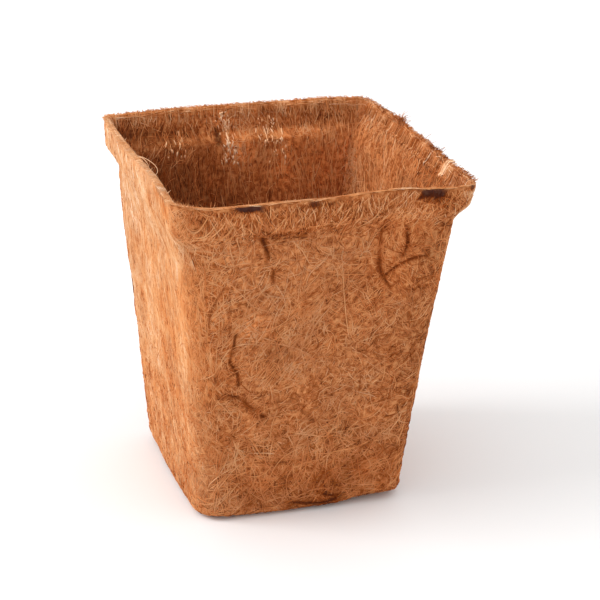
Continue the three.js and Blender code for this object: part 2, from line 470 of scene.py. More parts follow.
FRONT_SHARE = 0.8  # points further forward than this share of the half width lie on the front
STAIN_RAGGED = 0.3  # how far noise moves a stain's edge
STAIN_CORE, STAIN_FALL = 2.6, 2.2  # strength at a stain's middle, cut off at full, and its fall to the edge
STAINS = (  # dark marks along the front rim: place on the front wall, half sizes, strength
    ((-33.2, 149.0), (6.0, 1.5), 0.95),
    ((-6.2, 148.9), (2.2, 1.6), 0.65),
    ((44.4, 149.2), (5.9, 2.2), 0.9),
    ((45.5, 146.6), (4.5, 1.6), 0.45),
    ((62.6, 150.4), (1.4, 1.8), 0.8),
)
PATCHES = {  # on each outer or inner face: place, half sizes, how much lighter and how much rustier
    (FRONT, "outer"): (
        ((-54, 80), (44, 120), 0.12, 0),
        ((-54, 95), (16, 90), 0, 0.5),
        ((40, 138), (28, 18), 0.02, 0.4),
        ((7, 123), (13, 8), 0.07, -0.4),
        ((34, 112), (22, 24), 0.02, 0.35),
        ((10, 12), (44, 32), -0.09, 0.25),
        ((52, 70), (22, 80), -0.12, 0),
        ((10, 145), (60, 14), -0.04, 0.35),
        ((-45, 144), (26, 10), -0.05, 0.3),
        ((8, 141), (14, 10), -0.12, 0),
        ((-27, 94), (11, 12), 0.13, 0),
        # painted shadow under the collar's step
        ((-22, 134.6), (54, 5), -0.2, 0),
        ((-49, 113), (14, 22), 0.16, 0),
        ((-34, 49), (9, 9), 0.1, 0),
        ((-16, 80), (10, 20), -0.15, 0),
        ((26, 102), (11, 9), -0.1, 0),
        ((0, 36), (6, 7), -0.18, 0),
        ((-22, 34), (8, 8), -0.12, 0),
        ((15, 38), (12, 10), -0.18, 0),
        ((51, 142), (10, 11), -0.2, 0),
        ((50, 122), (12, 17), -0.12, 0),
        # painted shade just under the rim
        ((0, 148.5), (13, 2.5), -0.15, 0),
        ((-43, 147), (7, 4), -0.14, 0.2),
        ((-46, 34), (15, 22), -0.22, 0.1),
        ((8, 2), (22, 5), -0.12, 0.5),
    ),
    (LEFT, "outer"): (
        ((35, 70), (45, 110), -0.05, 0),
        ((-50, 90), (50, 110), 0.02, -0.6),
        ((0, 140), (70, 50), 0, -0.25),
        ((54, 95), (18, 90), 0.03, 0.5),
        ((20, 5), (70, 50), -0.06, -0.1),
        ((46, 149), (16, 16), -0.16, 0.2),
        ((47, 132), (8, 12), -0.08, 0),
        # painted shadow line in the collar's lobe, given a rusty colour
        ((-57, 141), (3.5, 7), -0.16, 0.5),
    ),
    (BACK, "inner"): (
        ((0, 125), (90, 70), 0, 0.4),
        # painted highlight along the ledge, toward its right end
        ((-35, 138), (40, 2.5), 0.1, -0.1),
        ((-42, 143), (18, 6), -0.13, 0),
        ((-52, 128), (9, 9), 0.18, 0),
        # painted shade that dims the lit ledge in its middle
        ((2, 137), (30, 3), -0.1, 0.1),
        # painted shade deep inside, where less light reaches
        ((8, 107), (32, 16), -0.18, 0),
        ((34, 141), (26, 7), -0.18, 0.2),
        # painted shadow in the inner corner by the left wall
        ((54, 142), (16, 12), -0.2, 0.2),
        ((34, 122), (34, 28), -0.22, 0),
        ((12, 148), (54, 10), 0.16, 0.1),
        ((-35, 122), (34, 26), 0.12, 0.35),
        ((10.6, 138), (2.2, 5), -0.55, 0.2),
        ((0, 132), (13, 12), 0.33, 0),
        ((-20, 128), (8, 18), 0.18, 0.1),
    ),
    (RIGHT, "inner"): (
        ((-28, 143), (30, 15), -0.2, 0.4),
        # painted light: the lit inner face is lighter next to the back corner, where it meets the shaded back
        # wall
        ((54, 116), (12, 22), 0.14, 0),
        ((56, 124), (9, 11), 0.2, 0),
        ((18, 126), (18, 18), 0.15, -0.2),
        ((20, 130), (60, 40), -0.07, 0.3),
    ),
}


def across(wall, p):
    """Distance of points from the middle of a wall, as seen from outside."""
    x, y = p[..., 0], p[..., 1]
    return (x, y, -x, -y)[wall]


def patching(wall, outer, p):
    """How much lighter and rustier than the rest the felt is at points of a wall; some patches are painted
    light and shade.
    """
    light, rust = np.zeros((2,) + p.shape[:-1])
    for (x, z), (wide, high), lighter, rustier in PATCHES.get((wall, "outer" if outer else "inner"), ()):
        share = bell(np.hypot((across(wall, p) - x) / wide, (p[..., 2] - z) / high), 1.0)
        light = light + lighter * share
        rust = rust + rustier * share
    return light, rust


def staining(p):
    """How far the front rim's stains darken points of the walls."""
    strength = np.zeros(p.shape[:-1])
    for (x, z), (wide, high), most in STAINS:
        spread = np.maximum(np.abs(p[..., 0] - x) / wide, np.abs(p[..., 2] - z) / high)
        ragged = spread + STAIN_RAGGED * noise(p, *STAIN_NOISE)
        strength = np.maximum(strength, most * np.clip(STAIN_CORE - STAIN_FALL * ragged, 0, 1))
    return strength * (p[..., 1] < -FRONT_SHARE * RIM_HALF)


# Meshes

def make_mesh(name, points, faces):
    """A smooth-shaded mesh object from points in millimetres and a list of arrays of faces."""
    mesh = bpy.data.meshes.new(name)
    mesh.vertices.add(len(points))
    mesh.vertices.foreach_set("co", (points * MM).astype(np.float32).ravel())
    corners = np.concatenate([f.ravel() for f in faces])
    sizes = np.concatenate([np.full(len(f), f.shape[1]) for f in faces])
    mesh.loops.add(len(corners))
    mesh.loops.foreach_set("vertex_index", corners.astype(np.int32))
    mesh.polygons.add(len(sizes))
    mesh.polygons.foreach_set("loop_start", (np.cumsum(sizes) - sizes).astype(np.int32))
    mesh.polygons.foreach_set("use_smooth", np.ones(len(sizes), bool))
    mesh.update(calc_edges=True)
    mesh.validate()
    piece = bpy.data.objects.new(name, mesh)
    bpy.context.scene.collection.objects.link(piece)
    return piece


def add_number(piece, name, values):
    """A number at each point of a piece, for its material."""
    attribute = piece.data.attributes.new(name, "FLOAT", "POINT")
    attribute.data.foreach_set("value", values.astype(np.float32).ravel())


def add_map(piece, name, places):
    """A UV map from a place at each point of a piece."""
    corners = np.empty(len(piece.data.loops), np.int32)
    piece.data.loops.foreach_get("vertex_index", corners)
    layer = piece.data.uv_layers.new(name=name)
    layer.uv.foreach_set("vector", places[corners].astype(np.float32).ravel())


def add_bake_map(piece, columns, rows):
    """A UV map for baking, which spreads a grid of points over nearly the whole picture."""
    margin = 0.01
    u = np.linspace(margin, 1 - margin, columns)
    v = np.linspace(margin, 1 - margin, rows)
    places = np.stack(np.meshgrid(u, v, indexing="ij"), -1)
    add_map(piece, "OFBake", places.reshape(-1, 2))


def grid_faces(columns, rows, closed_columns=False, closed_rows=False):
    """Quads of a grid whose points are numbered column by column."""
    i = np.arange(columns if closed_columns else columns - 1)
    j = np.arange(rows if closed_rows else rows - 1)
    i, j = (a.ravel() for a in np.meshgrid(i, j, indexing="ij"))
    right, up = (i + 1) % columns, (j + 1) % rows
    return np.stack([i * rows + j, right * rows + j, right * rows + up, i * rows + up], -1)


RIM_ROWS = 4
RIM_CROWN = 0.4  # how far the trimmed top of a wall stands above its edges
HEM_WAVE = 1.7  # the walls' lower edges hang down by up to this much over the foot
HEM_HEIGHT = 12.0  # how far up a wall the hanging edge draws it down
PIT_SHADE = 0.4  # how dark the painted shade in the felt's pits is
MOST_LIGHT = 0.3  # patches lighten or darken the felt by no more than this
COMBING_FADE = 1.2  # how fast combing fades over the corner
COLLAR_COMBING_FADE = 3.0  # and how much faster on the collar
FELT_NUMBERS = ("shade", "stain", "combed", "light", "rust")  # that the felt's material reads


def dress(piece):
    """Every piece of the pot is part of its one body."""
    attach(piece, "root")
    return piece


def past_corner(along, z):
    """0 on a wall's flat, rising to 1 at the end of the corner that it turns."""
    radius, centre = plan(np.maximum(z, FOOT_ROUND))[2:]
    return np.clip((along - 2 * centre) / (radius * math.pi / 2), 0, 1)


def combing(wall, along, z):
    """1 where the fibre is combed upright, on the left wall, fading away over the corner it turns."""
    fade = COMBING_FADE + COLLAR_COMBING_FADE * share_between(z, STEP_FOOT, COLLAR_FOOT)
    return np.where(wall == LEFT, np.clip(1 - fade * past_corner(along, z), 0, 1), 0.0)


def rim_top(p, depth):
    """Points of the trimmed top of the walls, from their places on the true shape."""
    crown = RIM_CROWN * np.sin(math.pi * np.clip(depth / FELT, 0, 1)) - rim_drop(p, depth)
    moved = settle(p)
    moved[..., 2] += crown + by_wall(p, RIM_ROUGHNESS) * layered(p, RIM_WAVES)
    return moved


def wall_faces(columns, rows, side_rows):
    """Faces of a wall's grid, which is closed all round, and of its two ends."""
    last = (columns - 1) * rows
    j = np.arange(side_rows - 1)
    opposite = rows - 1 - j
    ends = np.stack([j, j + 1, opposite - 1, opposite], -1)
    mouth = np.arange(side_rows - 1, side_rows + RIM_ROWS + 1)[None]
    around = grid_faces(columns, rows, closed_rows=True)
    return [around, ends, mouth, last + ends[:, ::-1], last + mouth[:, ::-1]]


def wall_felt(wall):
    """One wall: up its outer face, over the rim and down its inner face, scarfed to its neighbours."""
    side_rows = int((HEIGHT - WALL_FOOT) / GRID)
    columns = int((2 * RIM_HALF + CORNER_LAP) / GRID)
    up = np.linspace(0, 1, side_rows)
    over = np.linspace(0, 1, RIM_ROWS + 2)[1:-1]
    outer_z = WALL_FOOT + up * (HEIGHT - WALL_FOOT)
    inner_z = TONGUE_TOP + BOND + up[::-1] * (HEIGHT - TONGUE_TOP - BOND)
    z = np.concatenate([outer_z, np.full(RIM_ROWS, HEIGHT), inner_z])
    depth = np.concatenate([0 * up, over * FELT, 0 * up + FELT])
    lap = CORNER_LAP * (1 - depth / FELT)
    start = lap - plan(np.where(depth == FELT, ledge(wall, -RIM_HALF, z), z))[3]
    radius, centre = plan(np.where(depth == FELT, ledge(wall, RIM_HALF, z), z))[2:]
    end = centre + radius * math.pi / 2 + lap
    share = np.linspace(0, 1, columns)[:, None]
    x = start + share * (end - start)
    edge = unrolled(wall, x[:, 0], 0 * x[:, 0], HEMS_APART)
    hem = HEM_WAVE * (0.5 + 0.5 * noise(edge, *HEM_NOISE))
    hang = share_between(z, WALL_FOOT + HEM_HEIGHT, WALL_FOOT) ** 2 * (depth == 0)
    zz = z - hem[:, None] * hang
    outer, _, dark = felt_at(wall, x, zz, True)
    inner = felt_at(wall, x, zz, False)[0]
    rim, _, on, along = on_shell(wall, x, zz, depth)
    rim = rim_top(rim, depth)
    inward = (depth / FELT)[None, :, None]
    p = np.where(inward == 0, outer, np.where(inward == 1, inner, rim))
    outside = depth < FELT
    rows = len(z)
    faces = wall_faces(columns, rows, side_rows)
    piece = dress(make_mesh(WALLS[wall] + "_felt", p.reshape(-1, 3), faces))
    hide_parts(WALLS[wall])
    shade = np.maximum(np.where(depth == 0, dark, 0), PIT_SHADE * pits(p))
    stain = np.where(depth == 0, staining(p), 0)
    combed = combing(on, along, zz) * outside
    light, rust = np.where(outside, patching(wall, True, p), patching(wall, False, p))
    light, rust = np.clip(light, -MOST_LIGHT, MOST_LIGHT), np.clip(0.5 + rust, 0, 1)
    for name, values in zip(FELT_NUMBERS, (shade, stain, combed, light, rust)):
        add_number(piece, name, values)
    girth = np.concatenate([[0], np.cumsum(np.hypot(np.diff(z), np.diff(depth)))])
    add_map(piece, "felt", np.stack([x, girth + 0 * x], -1).reshape(-1, 2) * MM)
    add_bake_map(piece, columns, rows)
    return piece


ROUND_ROWS, FLOOR_ROWS, TONGUE_ROWS = 9, 36, 14  # of the base, round its edges, across it and up its tongue
UNDERSIDE_LIFT = 0.3  # keeps the lumps of the underside off the floor
INSIDE_RELIEF = -0.6  # share of the lumps that the tongue and the floor's edge take, away from the wall
BASE_RUST = 0.6


def base_felt():
    """The base blank: a dish whose edge turns up inside the walls, with a drain hole through its floor."""
    around = int(2 * FOOT_HALF / GRID)
    share = np.arange(around)[:, None] / around
    quarter = np.linspace(0, math.pi / 2, ROUND_ROWS)
    floor_steps = np.linspace(0, 1, FLOOR_ROWS)[:, None]
    foot_z = FOOT_ROUND * (1 - np.cos(quarter))
    inner_z = np.linspace(TONGUE_TOP, FLOOR + FLOOR_ROUND, TONGUE_ROWS)
    edge_z = FLOOR + FLOOR_ROUND * (1 - np.sin(quarter))
    edge_depth = FELT + FLOOR_ROUND * (1 - np.cos(quarter))
    depth = np.concatenate([0 * foot_z, 0 * inner_z + FELT, edge_depth])
    z = np.concatenate([foot_z, inner_z, edge_z])
    loops = []
    outward = []
    for wall in range(4):
        radius, centre = plan(np.maximum(z, FOOT_ROUND))[2:]
        x = share * (2 * centre + radius * math.pi / 2) - centre
        point, normal = on_shell(wall, x, np.broadcast_to(z, x.shape), depth)[:2]
        loops.append(point)
        outward.append(normal)
    side, outward = np.concatenate(loops), np.concatenate(outward)
    foot, edge = side[:, 0], side[:, -1]
    bearing = np.arctan2(foot[:, 1], foot[:, 0])
    hole = DRAIN_RADIUS * np.stack([np.cos(bearing), np.sin(bearing), 0 * bearing], -1)
    above = hole + [0, 0, FLOOR]
    under = hole[:, None] + (foot - hole)[:, None] * floor_steps[:-1]
    floor = edge[:, None] + (above - edge)[:, None] * floor_steps[1:]
    bore = np.stack([above - [0, 0, FLOOR * share] for share in (0.25, 0.5, 0.75)], 1)
    p = np.concatenate([under, side, floor, bore], 1)
    height = layered(p, LUMPS)
    lift = np.zeros(p.shape)
    foot_from, inner_from = under.shape[1], under.shape[1] + len(foot_z)
    floor_from = under.shape[1] + side.shape[1]
    raised = np.concatenate([np.ones(foot_from), np.cos(quarter), np.zeros(p.shape[1] - inner_from)])
    lift[..., 2] = raised * (UNDERSIDE_LIFT + height)
    lift[:, floor_from:, 2] = height[:, floor_from:]
    spread = np.concatenate([np.sin(quarter), np.full(side.shape[1] - len(foot_z), INSIDE_RELIEF)])
    lift[:, foot_from:floor_from] += outward * (spread * height[:, foot_from:floor_from])[..., None]
    p = settle(p) + lift
    p[..., 2] = np.maximum(p[..., 2], 0)
    columns, rows = p.shape[:2]
    piece = dress(make_mesh("base_felt", p.reshape(-1, 3), [grid_faces(columns, rows, True, True)]))
    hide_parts("base")
    light = patching(FRONT, True, p)[0] * (p[..., 1] < -FRONT_SHARE * FOOT_HALF)
    for name, value in zip(FELT_NUMBERS, (0.0, 0.0, 0.0, light, BASE_RUST)):
        add_number(piece, name, np.broadcast_to(value, (columns, rows)))
    add_map(piece, "felt", p[..., :2].reshape(-1, 2) * MM)
    add_bake_map(piece, columns, rows)
    return piece


# Strands of coir

LOW, TOP = 0.8, HEIGHT - 0.2  # heights between which strands lie on the outside of the walls
STRAND_SIDES = 3
ALL_ROUND = None  # strands spread over the whole of a wall and the corner it turns
SWIRLS = None  # strands that follow the swirls of loosely thrown fibre
UPRIGHT = 0.0  # headings are in degrees from upright
WAVER = 0.2  # how far strands with one heading stray from it together, in radians
SWAYS, SWAY_SHARE = (0.4, 1.3), 0.35  # range of the waves along a strand, and their share of its curl
WEAVE_WAVES = 2.5  # most waves of a strand in and out of the felt
END_TUCK = 0.22  # how far the ends of a strand sink into the felt
END_TAPER = 0.45  # how much thinner a strand is at its ends
OUTER_SEED, INNER_SEED, RIM_SEED = 100, 200, 300  # of the first wall's strands
BAKE_MARGIN = 0.02  # the bake map lays strands out by tone and rust, each over a share of the picture
BAKE_TONES, BAKE_RUSTS = 0.95, 0.9
BAKE_SIDE, BAKE_RUN = 0.004, 0.06  # step from side to side of a strand, and its length there


class Kind(NamedTuple):
    """A kind of strand. Its length, radius and lift are ranges, and its tone is a mean and a spread."""
    steps: int  # points along it
    length: tuple
    radius: tuple
    lift: tuple  # height above the felt
    tone: tuple  # from stained at 0 to straw-pale at 1
    curl: float = 0.1  # radians per millimetre
    palest: float = 0.83  # no tone is paler
    weave: float = 0.2  # how far it rises from the felt and dives into it along its way


CRUMBS = Kind(4, (2.5, 7), (0.15, 0.27), (0, 0.12), (0.57, 0.1), 0.15, 0.76)
DARK_CRUMBS = Kind(4, (2, 6), (0.15, 0.27), (0, 0.14), (0.31, 0.07), 0.1)
# dark curved strands: partly dark fibre and partly painted shade of the lines between lighter strands
DARK_LOOSE = Kind(11, (5, 15), (0.14, 0.23), (0, 0.14), (0.33, 0.06), 0.09)
COLLAR_CRUMBS = Kind(4, (3, 8), (0.15, 0.28), (0, 0.25), (0.54, 0.17))
LOOSE = Kind(11, (7, 18), (0.18, 0.3), (0, 0.2), (0.6, 0.08), 0.08, 0.74)
SPRAWLING = Kind(11, (16, 36), (0.18, 0.28), (0.05, 0.3), (0.66, 0.05), 0.06, 0.78)
COLLAR_LOOSE = Kind(11, (6, 16), (0.18, 0.32), (0.05, 0.4), (0.63, 0.13), 0.045)
STRAWS = Kind(11, (10, 30), (0.22, 0.36), (0.1, 0.4), (0.64, 0.06), 0.035, 0.73)
SLANTING = Kind(11, (9, 26), (0.2, 0.3), (0, 0.2), (0.63, 0.06), 0.03, 0.74)
PLACED = Kind(11, (0, 0), (0.22, 0.34), (0.2, 0.4), (0.72, 0.04), 0, 0.82)
BUNDLED = Kind(11, (0, 0), (0.2, 0.3), (0.3, 0.6), (0.74, 0.06), 0, 0.82)
# strands laid along the creases, which the creases' painted shade darkens
CRACK = Kind(11, (0, 0), (0.16, 0.26), (0.2, 0.4), (0.5, 0.06), 0, 1.0)
STREAK = Kind(11, (0, 0), (0.16, 0.26), (0.1, 0.25), (0.32, 0.05), 0, 1.0)
STRAYS = Kind(4, (3, 9), (0.15, 0.24), (-0.04, 0.06), (0.64, 0.06), 0.1, 0.74, 0.08)
COMBED = Kind(4, (5, 14), (0.13, 0.24), (0, 0.08), (0.7, 0.05), 0.05, 1.0, 0.1)
DARK_COMBED = Kind(4, (3, 9), (0.12, 0.22), (0, 0.1), (0.49, 0.07), 0.05, 1.0, 0.1)
MATTED = Kind(4, (3, 9), (0.14, 0.25), (0, 0.1), (0.69, 0.07), 0.12, 1.0, 0.1)
DARK_MATTED = Kind(4, (1.5, 5), (0.14, 0.24), (0, 0.12), (0.48, 0.07), 0.1, 1.0, 0.1)
CROSSING = Kind(4, (4, 11), (0.12, 0.18), (0, 0.12), (0.66, 0.07), 0.1, 1.0)
COMBED_LONG = Kind(11, (9, 26), (0.12, 0.22), (0, 0.12), (0.73, 0.06), 0.02, 1.0, 0.1)
COMBED_LOOSE = Kind(11, (9, 24), (0.12, 0.2), (0, 0.2), (0.7, 0.08), 0.06, 0.86)
LINING = Kind(6, (4, 11), (0.15, 0.26), (-0.1, 0.06), (0.58, 0.08), 0.12, 0.76, 0.06)
LINING_UPRIGHT = Kind(6, (5, 16), (0.16, 0.28), (-0.12, 0.06), (0.57, 0.13), 0.03, 0.8, 0.06)
DARK_LINING = Kind(6, (3, 9), (0.16, 0.28), (-0.05, 0.08), (0.3, 0.08), 0.04, 0.83, 0.06)
PALE_LINING = Kind(6, (5, 16), (0.14, 0.22), (0.1, 0.3), (0.74, 0.06), 0.06, 0.84, 0.06)
FLECKS = Kind(6, (0.5, 3.0), (0.2, 0.55), (0.05, 0.22), (1.0, 0.1), 0.03, 1.0, 0.06)


def paths(rng, wall, kind, count, places, heights, heading, spread):
    """Paths of strands on an unrolled wall, as distances from its middle and heights."""
    t = np.linspace(0, 1, kind.steps)
    z0 = rng.uniform(*heights, count)
    radius, centre = plan(np.maximum(z0, FOOT_ROUND))[2:]
    if places is ALL_ROUND:
        x0 = rng.random(count) * (2 * centre + radius * math.pi / 2) - centre
    else:
        x0 = rng.uniform(*places, count)
    angle = np.radians(rng.normal(0, spread, count))
    if heading is SWIRLS:
        angle += 2 * math.pi * noise(unrolled(wall, x0, z0), *SWIRL_NOISE)
    else:
        angle += math.radians(heading)
        angle += WAVER * noise(unrolled(wall, x0, 0.5 * z0), *WAVER_NOISE)
    run = rng.uniform(*kind.length, count)
    bend, sway = rng.normal(0, kind.curl, (2, count)) * run
    phase = rng.uniform(0, 2 * math.pi, count)
    wave = rng.uniform(*SWAYS, count)
    swing = np.sin(2 * math.pi * wave[:, None] * t + phase[:, None])
    turning = angle[:, None] + bend[:, None] * (t - 0.5) + SWAY_SHARE * sway[:, None] * swing
    step = run[:, None] / (kind.steps - 1)
    x = np.cumsum(np.sin(turning) * step, 1)
    z = np.cumsum(np.cos(turning) * step, 1)
    middle = kind.steps // 2
    x = x - x[:, middle:middle + 1] + x0[:, None]
    z = z - z[:, middle:middle + 1] + z0[:, None]
    return trimmed(x, z, heights)


def trimmed(x, z, heights):
    """Strands cut off where they leave the felt above or below, with their points spread out again."""
    steps = x.shape[1]
    middle = steps // 2
    outside = (z < heights[0]) | (z > heights[1])
    after, before = outside[:, middle:], outside[:, middle::-1]
    ahead = np.where(after.any(1), after.argmax(1) - 1, steps - 1 - middle)
    behind = np.where(before.any(1), before.argmax(1) - 1, middle)
    at = (middle - behind)[:, None] + (ahead + behind)[:, None] * np.linspace(0, 1, steps)
    low = np.clip(at.astype(int), 0, steps - 2)
    f = at - low
    x = np.take_along_axis(x, low, 1) * (1 - f) + np.take_along_axis(x, low + 1, 1) * f
    z = np.take_along_axis(z, low, 1) * (1 - f) + np.take_along_axis(z, low + 1, 1) * f
    long_enough = 2 * (ahead + behind) >= steps - 1
    return x[long_enough], z[long_enough]


def tubes(name, batches):
    """One piece of many closed strands with three sides each."""
    points, normals, radius, tone, rust = (np.concatenate([b[k] for b in batches]) for k in range(5))
    steps = points.shape[1]
    tangent = np.gradient(points, axis=1)
    tangent /= np.linalg.norm(tangent, axis=-1, keepdims=True) + 1e-9
    beside = np.cross(tangent, normals)
    beside /= np.linalg.norm(beside, axis=-1, keepdims=True) + 1e-9
    over = np.cross(beside, tangent)
    angle = np.arange(STRAND_SIDES) * 2 * math.pi / STRAND_SIDES + math.pi / 2
    ring = beside[:, :, None] * np.cos(angle)[:, None] + over[:, :, None] * np.sin(angle)[:, None]
    p = points[:, :, None] + ring * radius[:, :, None, None]
    number = np.arange(p.size // 3).reshape(p.shape[:3])
    following = np.roll(number, -1, axis=2)
    quads = np.stack([number[:, :-1], number[:, 1:], following[:, 1:], following[:, :-1]], -1)
    faces = [quads.reshape(-1, 4), number[:, 0], number[:, -1, ::-1]]
    piece = dress(make_mesh(name, p.reshape(-1, 3), faces))
    tone, rust = (np.broadcast_to(a[:, :, None], p.shape[:3]) for a in (tone, rust))
    add_number(piece, "tone", tone)
    add_number(piece, "rust", rust)
    u = BAKE_MARGIN + BAKE_TONES * tone + BAKE_SIDE * np.arange(STRAND_SIDES)
    v = BAKE_MARGIN + BAKE_RUSTS * rust + np.linspace(0, BAKE_RUN, steps)[:, None]
    add_map(piece, "OFBake", np.stack([u, v], -1).reshape(-1, 2))
    return piece


PIT_DARK = 0.17  # how much darker strands are in the pits, as painted shade
PALER_TOP = 0.12  # how much paler strands are at the rim than at the foot
RUST_SPREAD, RUST_PATCHES = 0.18, 0.45  # how rust differs from strand to strand and from place to place
DARKEST = 0.12  # no tone is darker outside the stains and creases
STAINED = 0.02  # tone of strands in a stain
CREASE_DARK = 0.75  # share of the way to it in a crease, as painted shade
LEFT_CLUMPS = (0.7, 0.9)  # stretch and contrast of the clumps of fibre on the left wall
BACK_INNER_CLUMPS = (0.4, 0.75)
INNER_CLUMPS = (0.4, 0.55)
CORNER_FADE = 0.02  # how much the left wall's strands darken over the corner it turns


def mottling(p, stretch=1.0, contrast=1.0):
    """What clumps of lighter and darker fibre, the painted shade of pits and a paler top add to the tones of
    strands.
    """
    place = p * np.array([1.0, 1.0, stretch])
    clumps = layered(place, CLUMPS) - PIT_DARK * pits(place)
    return contrast * clumps + PALER_TOP * (p[..., 2] / HEIGHT - 0.5)


def rusting(rng, p, shift):
    """How rusty strands are, from greyish at 0 to rusty at 1."""
    own = rng.normal(0.5, RUST_SPREAD, (len(p), 1))
    return np.clip(own + shift + RUST_PATCHES * noise(p, *RUST_NOISE), 0, 1)


def to_ends(t):
    """0 along the middle of strands, rising to 1 at both ends."""
    return np.abs(2 * t - 1) ** 3


def on_felt(rng, wall, outer, kind, x, z):
    """Strands along paths on a wall, half sunk in the felt with their ends tucked in."""
    t = np.linspace(0, 1, kind.steps)
    ends = to_ends(t)
    most = np.array([WEAVE_WAVES, 1.0, kind.weave])
    waves, phase, weave = rng.random((3, len(x), 1)) * most[:, None, None]
    height = rng.uniform(*kind.lift, (len(x), 1)) * (1 - ends) - END_TUCK * ends
    height = height + weave * np.sin(2 * math.pi * (waves * t + phase))
    p, normal, dark = felt_at(wall, x, z, outer, height)
    thick = rng.uniform(*kind.radius, (len(x), 1)) * (1 - END_TAPER * ends)
    light, rust = patching(wall, outer, p)
    tone = rng.normal(*kind.tone, (len(x), 1)) + light
    if outer and wall == LEFT:
        along = x + plan(np.maximum(z, FOOT_ROUND))[3]
        tone = tone + mottling(p, *LEFT_CLUMPS) - CORNER_FADE * past_corner(along, z)
    elif outer:
        tone = tone + mottling(p)
    else:
        tone = tone + mottling(p, *(BACK_INNER_CLUMPS if wall == BACK else INNER_CLUMPS))
    tone = np.clip(tone, DARKEST, kind.palest)
    if outer:
        # painted shade darkens strands in the creases, and the real stains along the rim darken them too
        tone = STAINED + (tone - STAINED) * (1 - np.maximum(CREASE_DARK * dark, staining(p)))
    return p, normal, thick, tone, rusting(rng, p, rust)


def scattered(rng, wall, kind, count, heights, heading=SWIRLS, spread=40, places=ALL_ROUND, outer=True):
    """Strands of one kind scattered over part of a wall, with headings that spread by some degrees."""
    x, z = paths(rng, wall, kind, count, places, heights, heading, spread)
    return on_felt(rng, wall, outer, kind, x, z)


def lay(rng, wall, recipes, outer=True):
    """Strands scattered over a wall by recipes, which give what scattered takes from kind to places."""
    return [scattered(rng, wall, *recipe, outer=outer) for recipe in recipes]


BODY, COLLAR = (LOW, STEP_FOOT + 8), (STEP_FOOT + 2, TOP)  # heights up to the step, and from there up
TANGLED_MAT = (  # kind, strands, heights, heading, and the degrees they spread by
    (CRUMBS, 6150, BODY),
    (DARK_CRUMBS, 240, BODY),
    (COLLAR_CRUMBS, 1500, COLLAR, UPRIGHT, 25),
    (DARK_CRUMBS, 350, COLLAR, UPRIGHT, 30),
)
TANGLED_OVER = (
    (LOOSE, 1250, BODY, SWIRLS, 34),
    (DARK_LOOSE, 300, BODY, SWIRLS, 34),
    (SPRAWLING, 70, BODY, UPRIGHT, 80),
    (COLLAR_LOOSE, 250, COLLAR, UPRIGHT, 26),
)
FRONT_MAT = (
    (DARK_CRUMBS, 160, (LOW, 45.0)),
)
FRONT_OVER = (  # as above, and the places along the wall between which they lie
    (STRAWS, 240, (LOW, 42.0), 40, 55, (-42.0, 44.0)),
    (SLANTING, 160, (62.0, 120.0), 30, 16, (-44.0, 4.0)),
)


def tangled_strands(wall):
    """A wall pressed from loose fibre: a mat of short crumbs of fibre with longer strands over it."""
    rng = np.random.default_rng(OUTER_SEED + wall)
    mat = lay(rng, wall, TANGLED_MAT)
    over = lay(rng, wall, TANGLED_OVER)
    if wall == FRONT:
        mat += corner_strands(rng) + lay(rng, wall, FRONT_MAT)
        over += front_strands(rng)
    return [tubes(WALLS[wall] + "_mat", mat), tubes(WALLS[wall] + "_strands", over)]


LONG_STRANDS = (  # places on the front wall that its longest strands pass through
    ((10.5, 149.0), (10.7, 143.4), (10.3, 138.0), (8.4, 130.0), (4.8, 124.1)),
    ((13.3, 143.2), (14.7, 138.4), (12.0, 135.9)),
    ((-11.6, 137.6), (-5.6, 137.2), (0.4, 137.3)),
    ((22.7, 147.8), (20.9, 137.7), (12.2, 131.5)),
    ((9.4, 121.0), (11.7, 101.4), (15.3, 82.1)),
    ((4.3, 113.7), (13.0, 113.5), (21.9, 112.4)),
    ((9.8, 34.0), (9.1, 24.1), (8.3, 8.9)),
    ((23.1, 27.2), (9.6, 36.6), (5.3, 19.5)),
    ((-30.0, 2.8), (-19.7, 12.0), (-13.7, 18.2)),
    ((-27.0, 32.6), (-19.0, 32.0), (-11.6, 30.0)),
    ((22.9, 11.9), (30.2, 18.6), (40.7, 22.2)),
)
COLLAR_BUNDLES = (  # places on the front wall that bundles of pale strands on the collar pass through
    ((-59.8, 144.2), (-55.0, 140.6), (-51.7, 144.8), (-50.0, 148.0)),
    ((-56.0, 137.5), (-50.5, 139.0), (-46.0, 145.5)),
    ((-52.0, 136.5), (-46.0, 140.5), (-42.5, 146.0)),
    ((-48.0, 135.5), (-42.3, 138.5), (-40.0, 144.0)),
)
CORNER_STREAKS = (  # places on the front wall that dark streaks beside its left corner pass through, painted shade of hair cracks there
    ((-52.6, 130.5), (-51.8, 120.5)),
    ((-49.6, 127.0), (-48.6, 121.6), (-48.2, 112.0)),
)
CORNER_STRAYS = (  # heights, strands, and the share of the corner to the left that they stray over
    ((LOW, 60.0), 170, 0.8),
    ((60.0, STEP_FOOT), 170, 0.8),
    ((STEP_FOOT, TOP), 360, 1.0),
)
BUNDLE_STRANDS, BUNDLE_SPREAD = 3, 0.4
STREAK_STRANDS, STREAK_SPREAD = 4, 0.5
CRACK_STRANDS, CRACK_SPREAD = 3, 0.3  # for each millimetre of a crease's half width


def curve_through(places, steps):
    """Points of a smooth curve through a few places."""
    through = np.linspace(0, 1, len(places))
    t = np.linspace(0, 1, steps)
    curves = [np.polyfit(through, line, len(places) - 1) for line in zip(*places)]
    return np.stack([np.polyval(curve, t) for curve in curves], -1)


def bundle(rng, kind, places, count, spread):
    """Strands of one kind side by side along a curve through places on the front wall."""
    curve = curve_through(places, kind.steps)
    beside = rng.normal(0, spread, (count, 2))
    return on_felt(rng, FRONT, True, kind, curve[:, 0] + beside[:, :1], curve[:, 1] + beside[:, 1:])


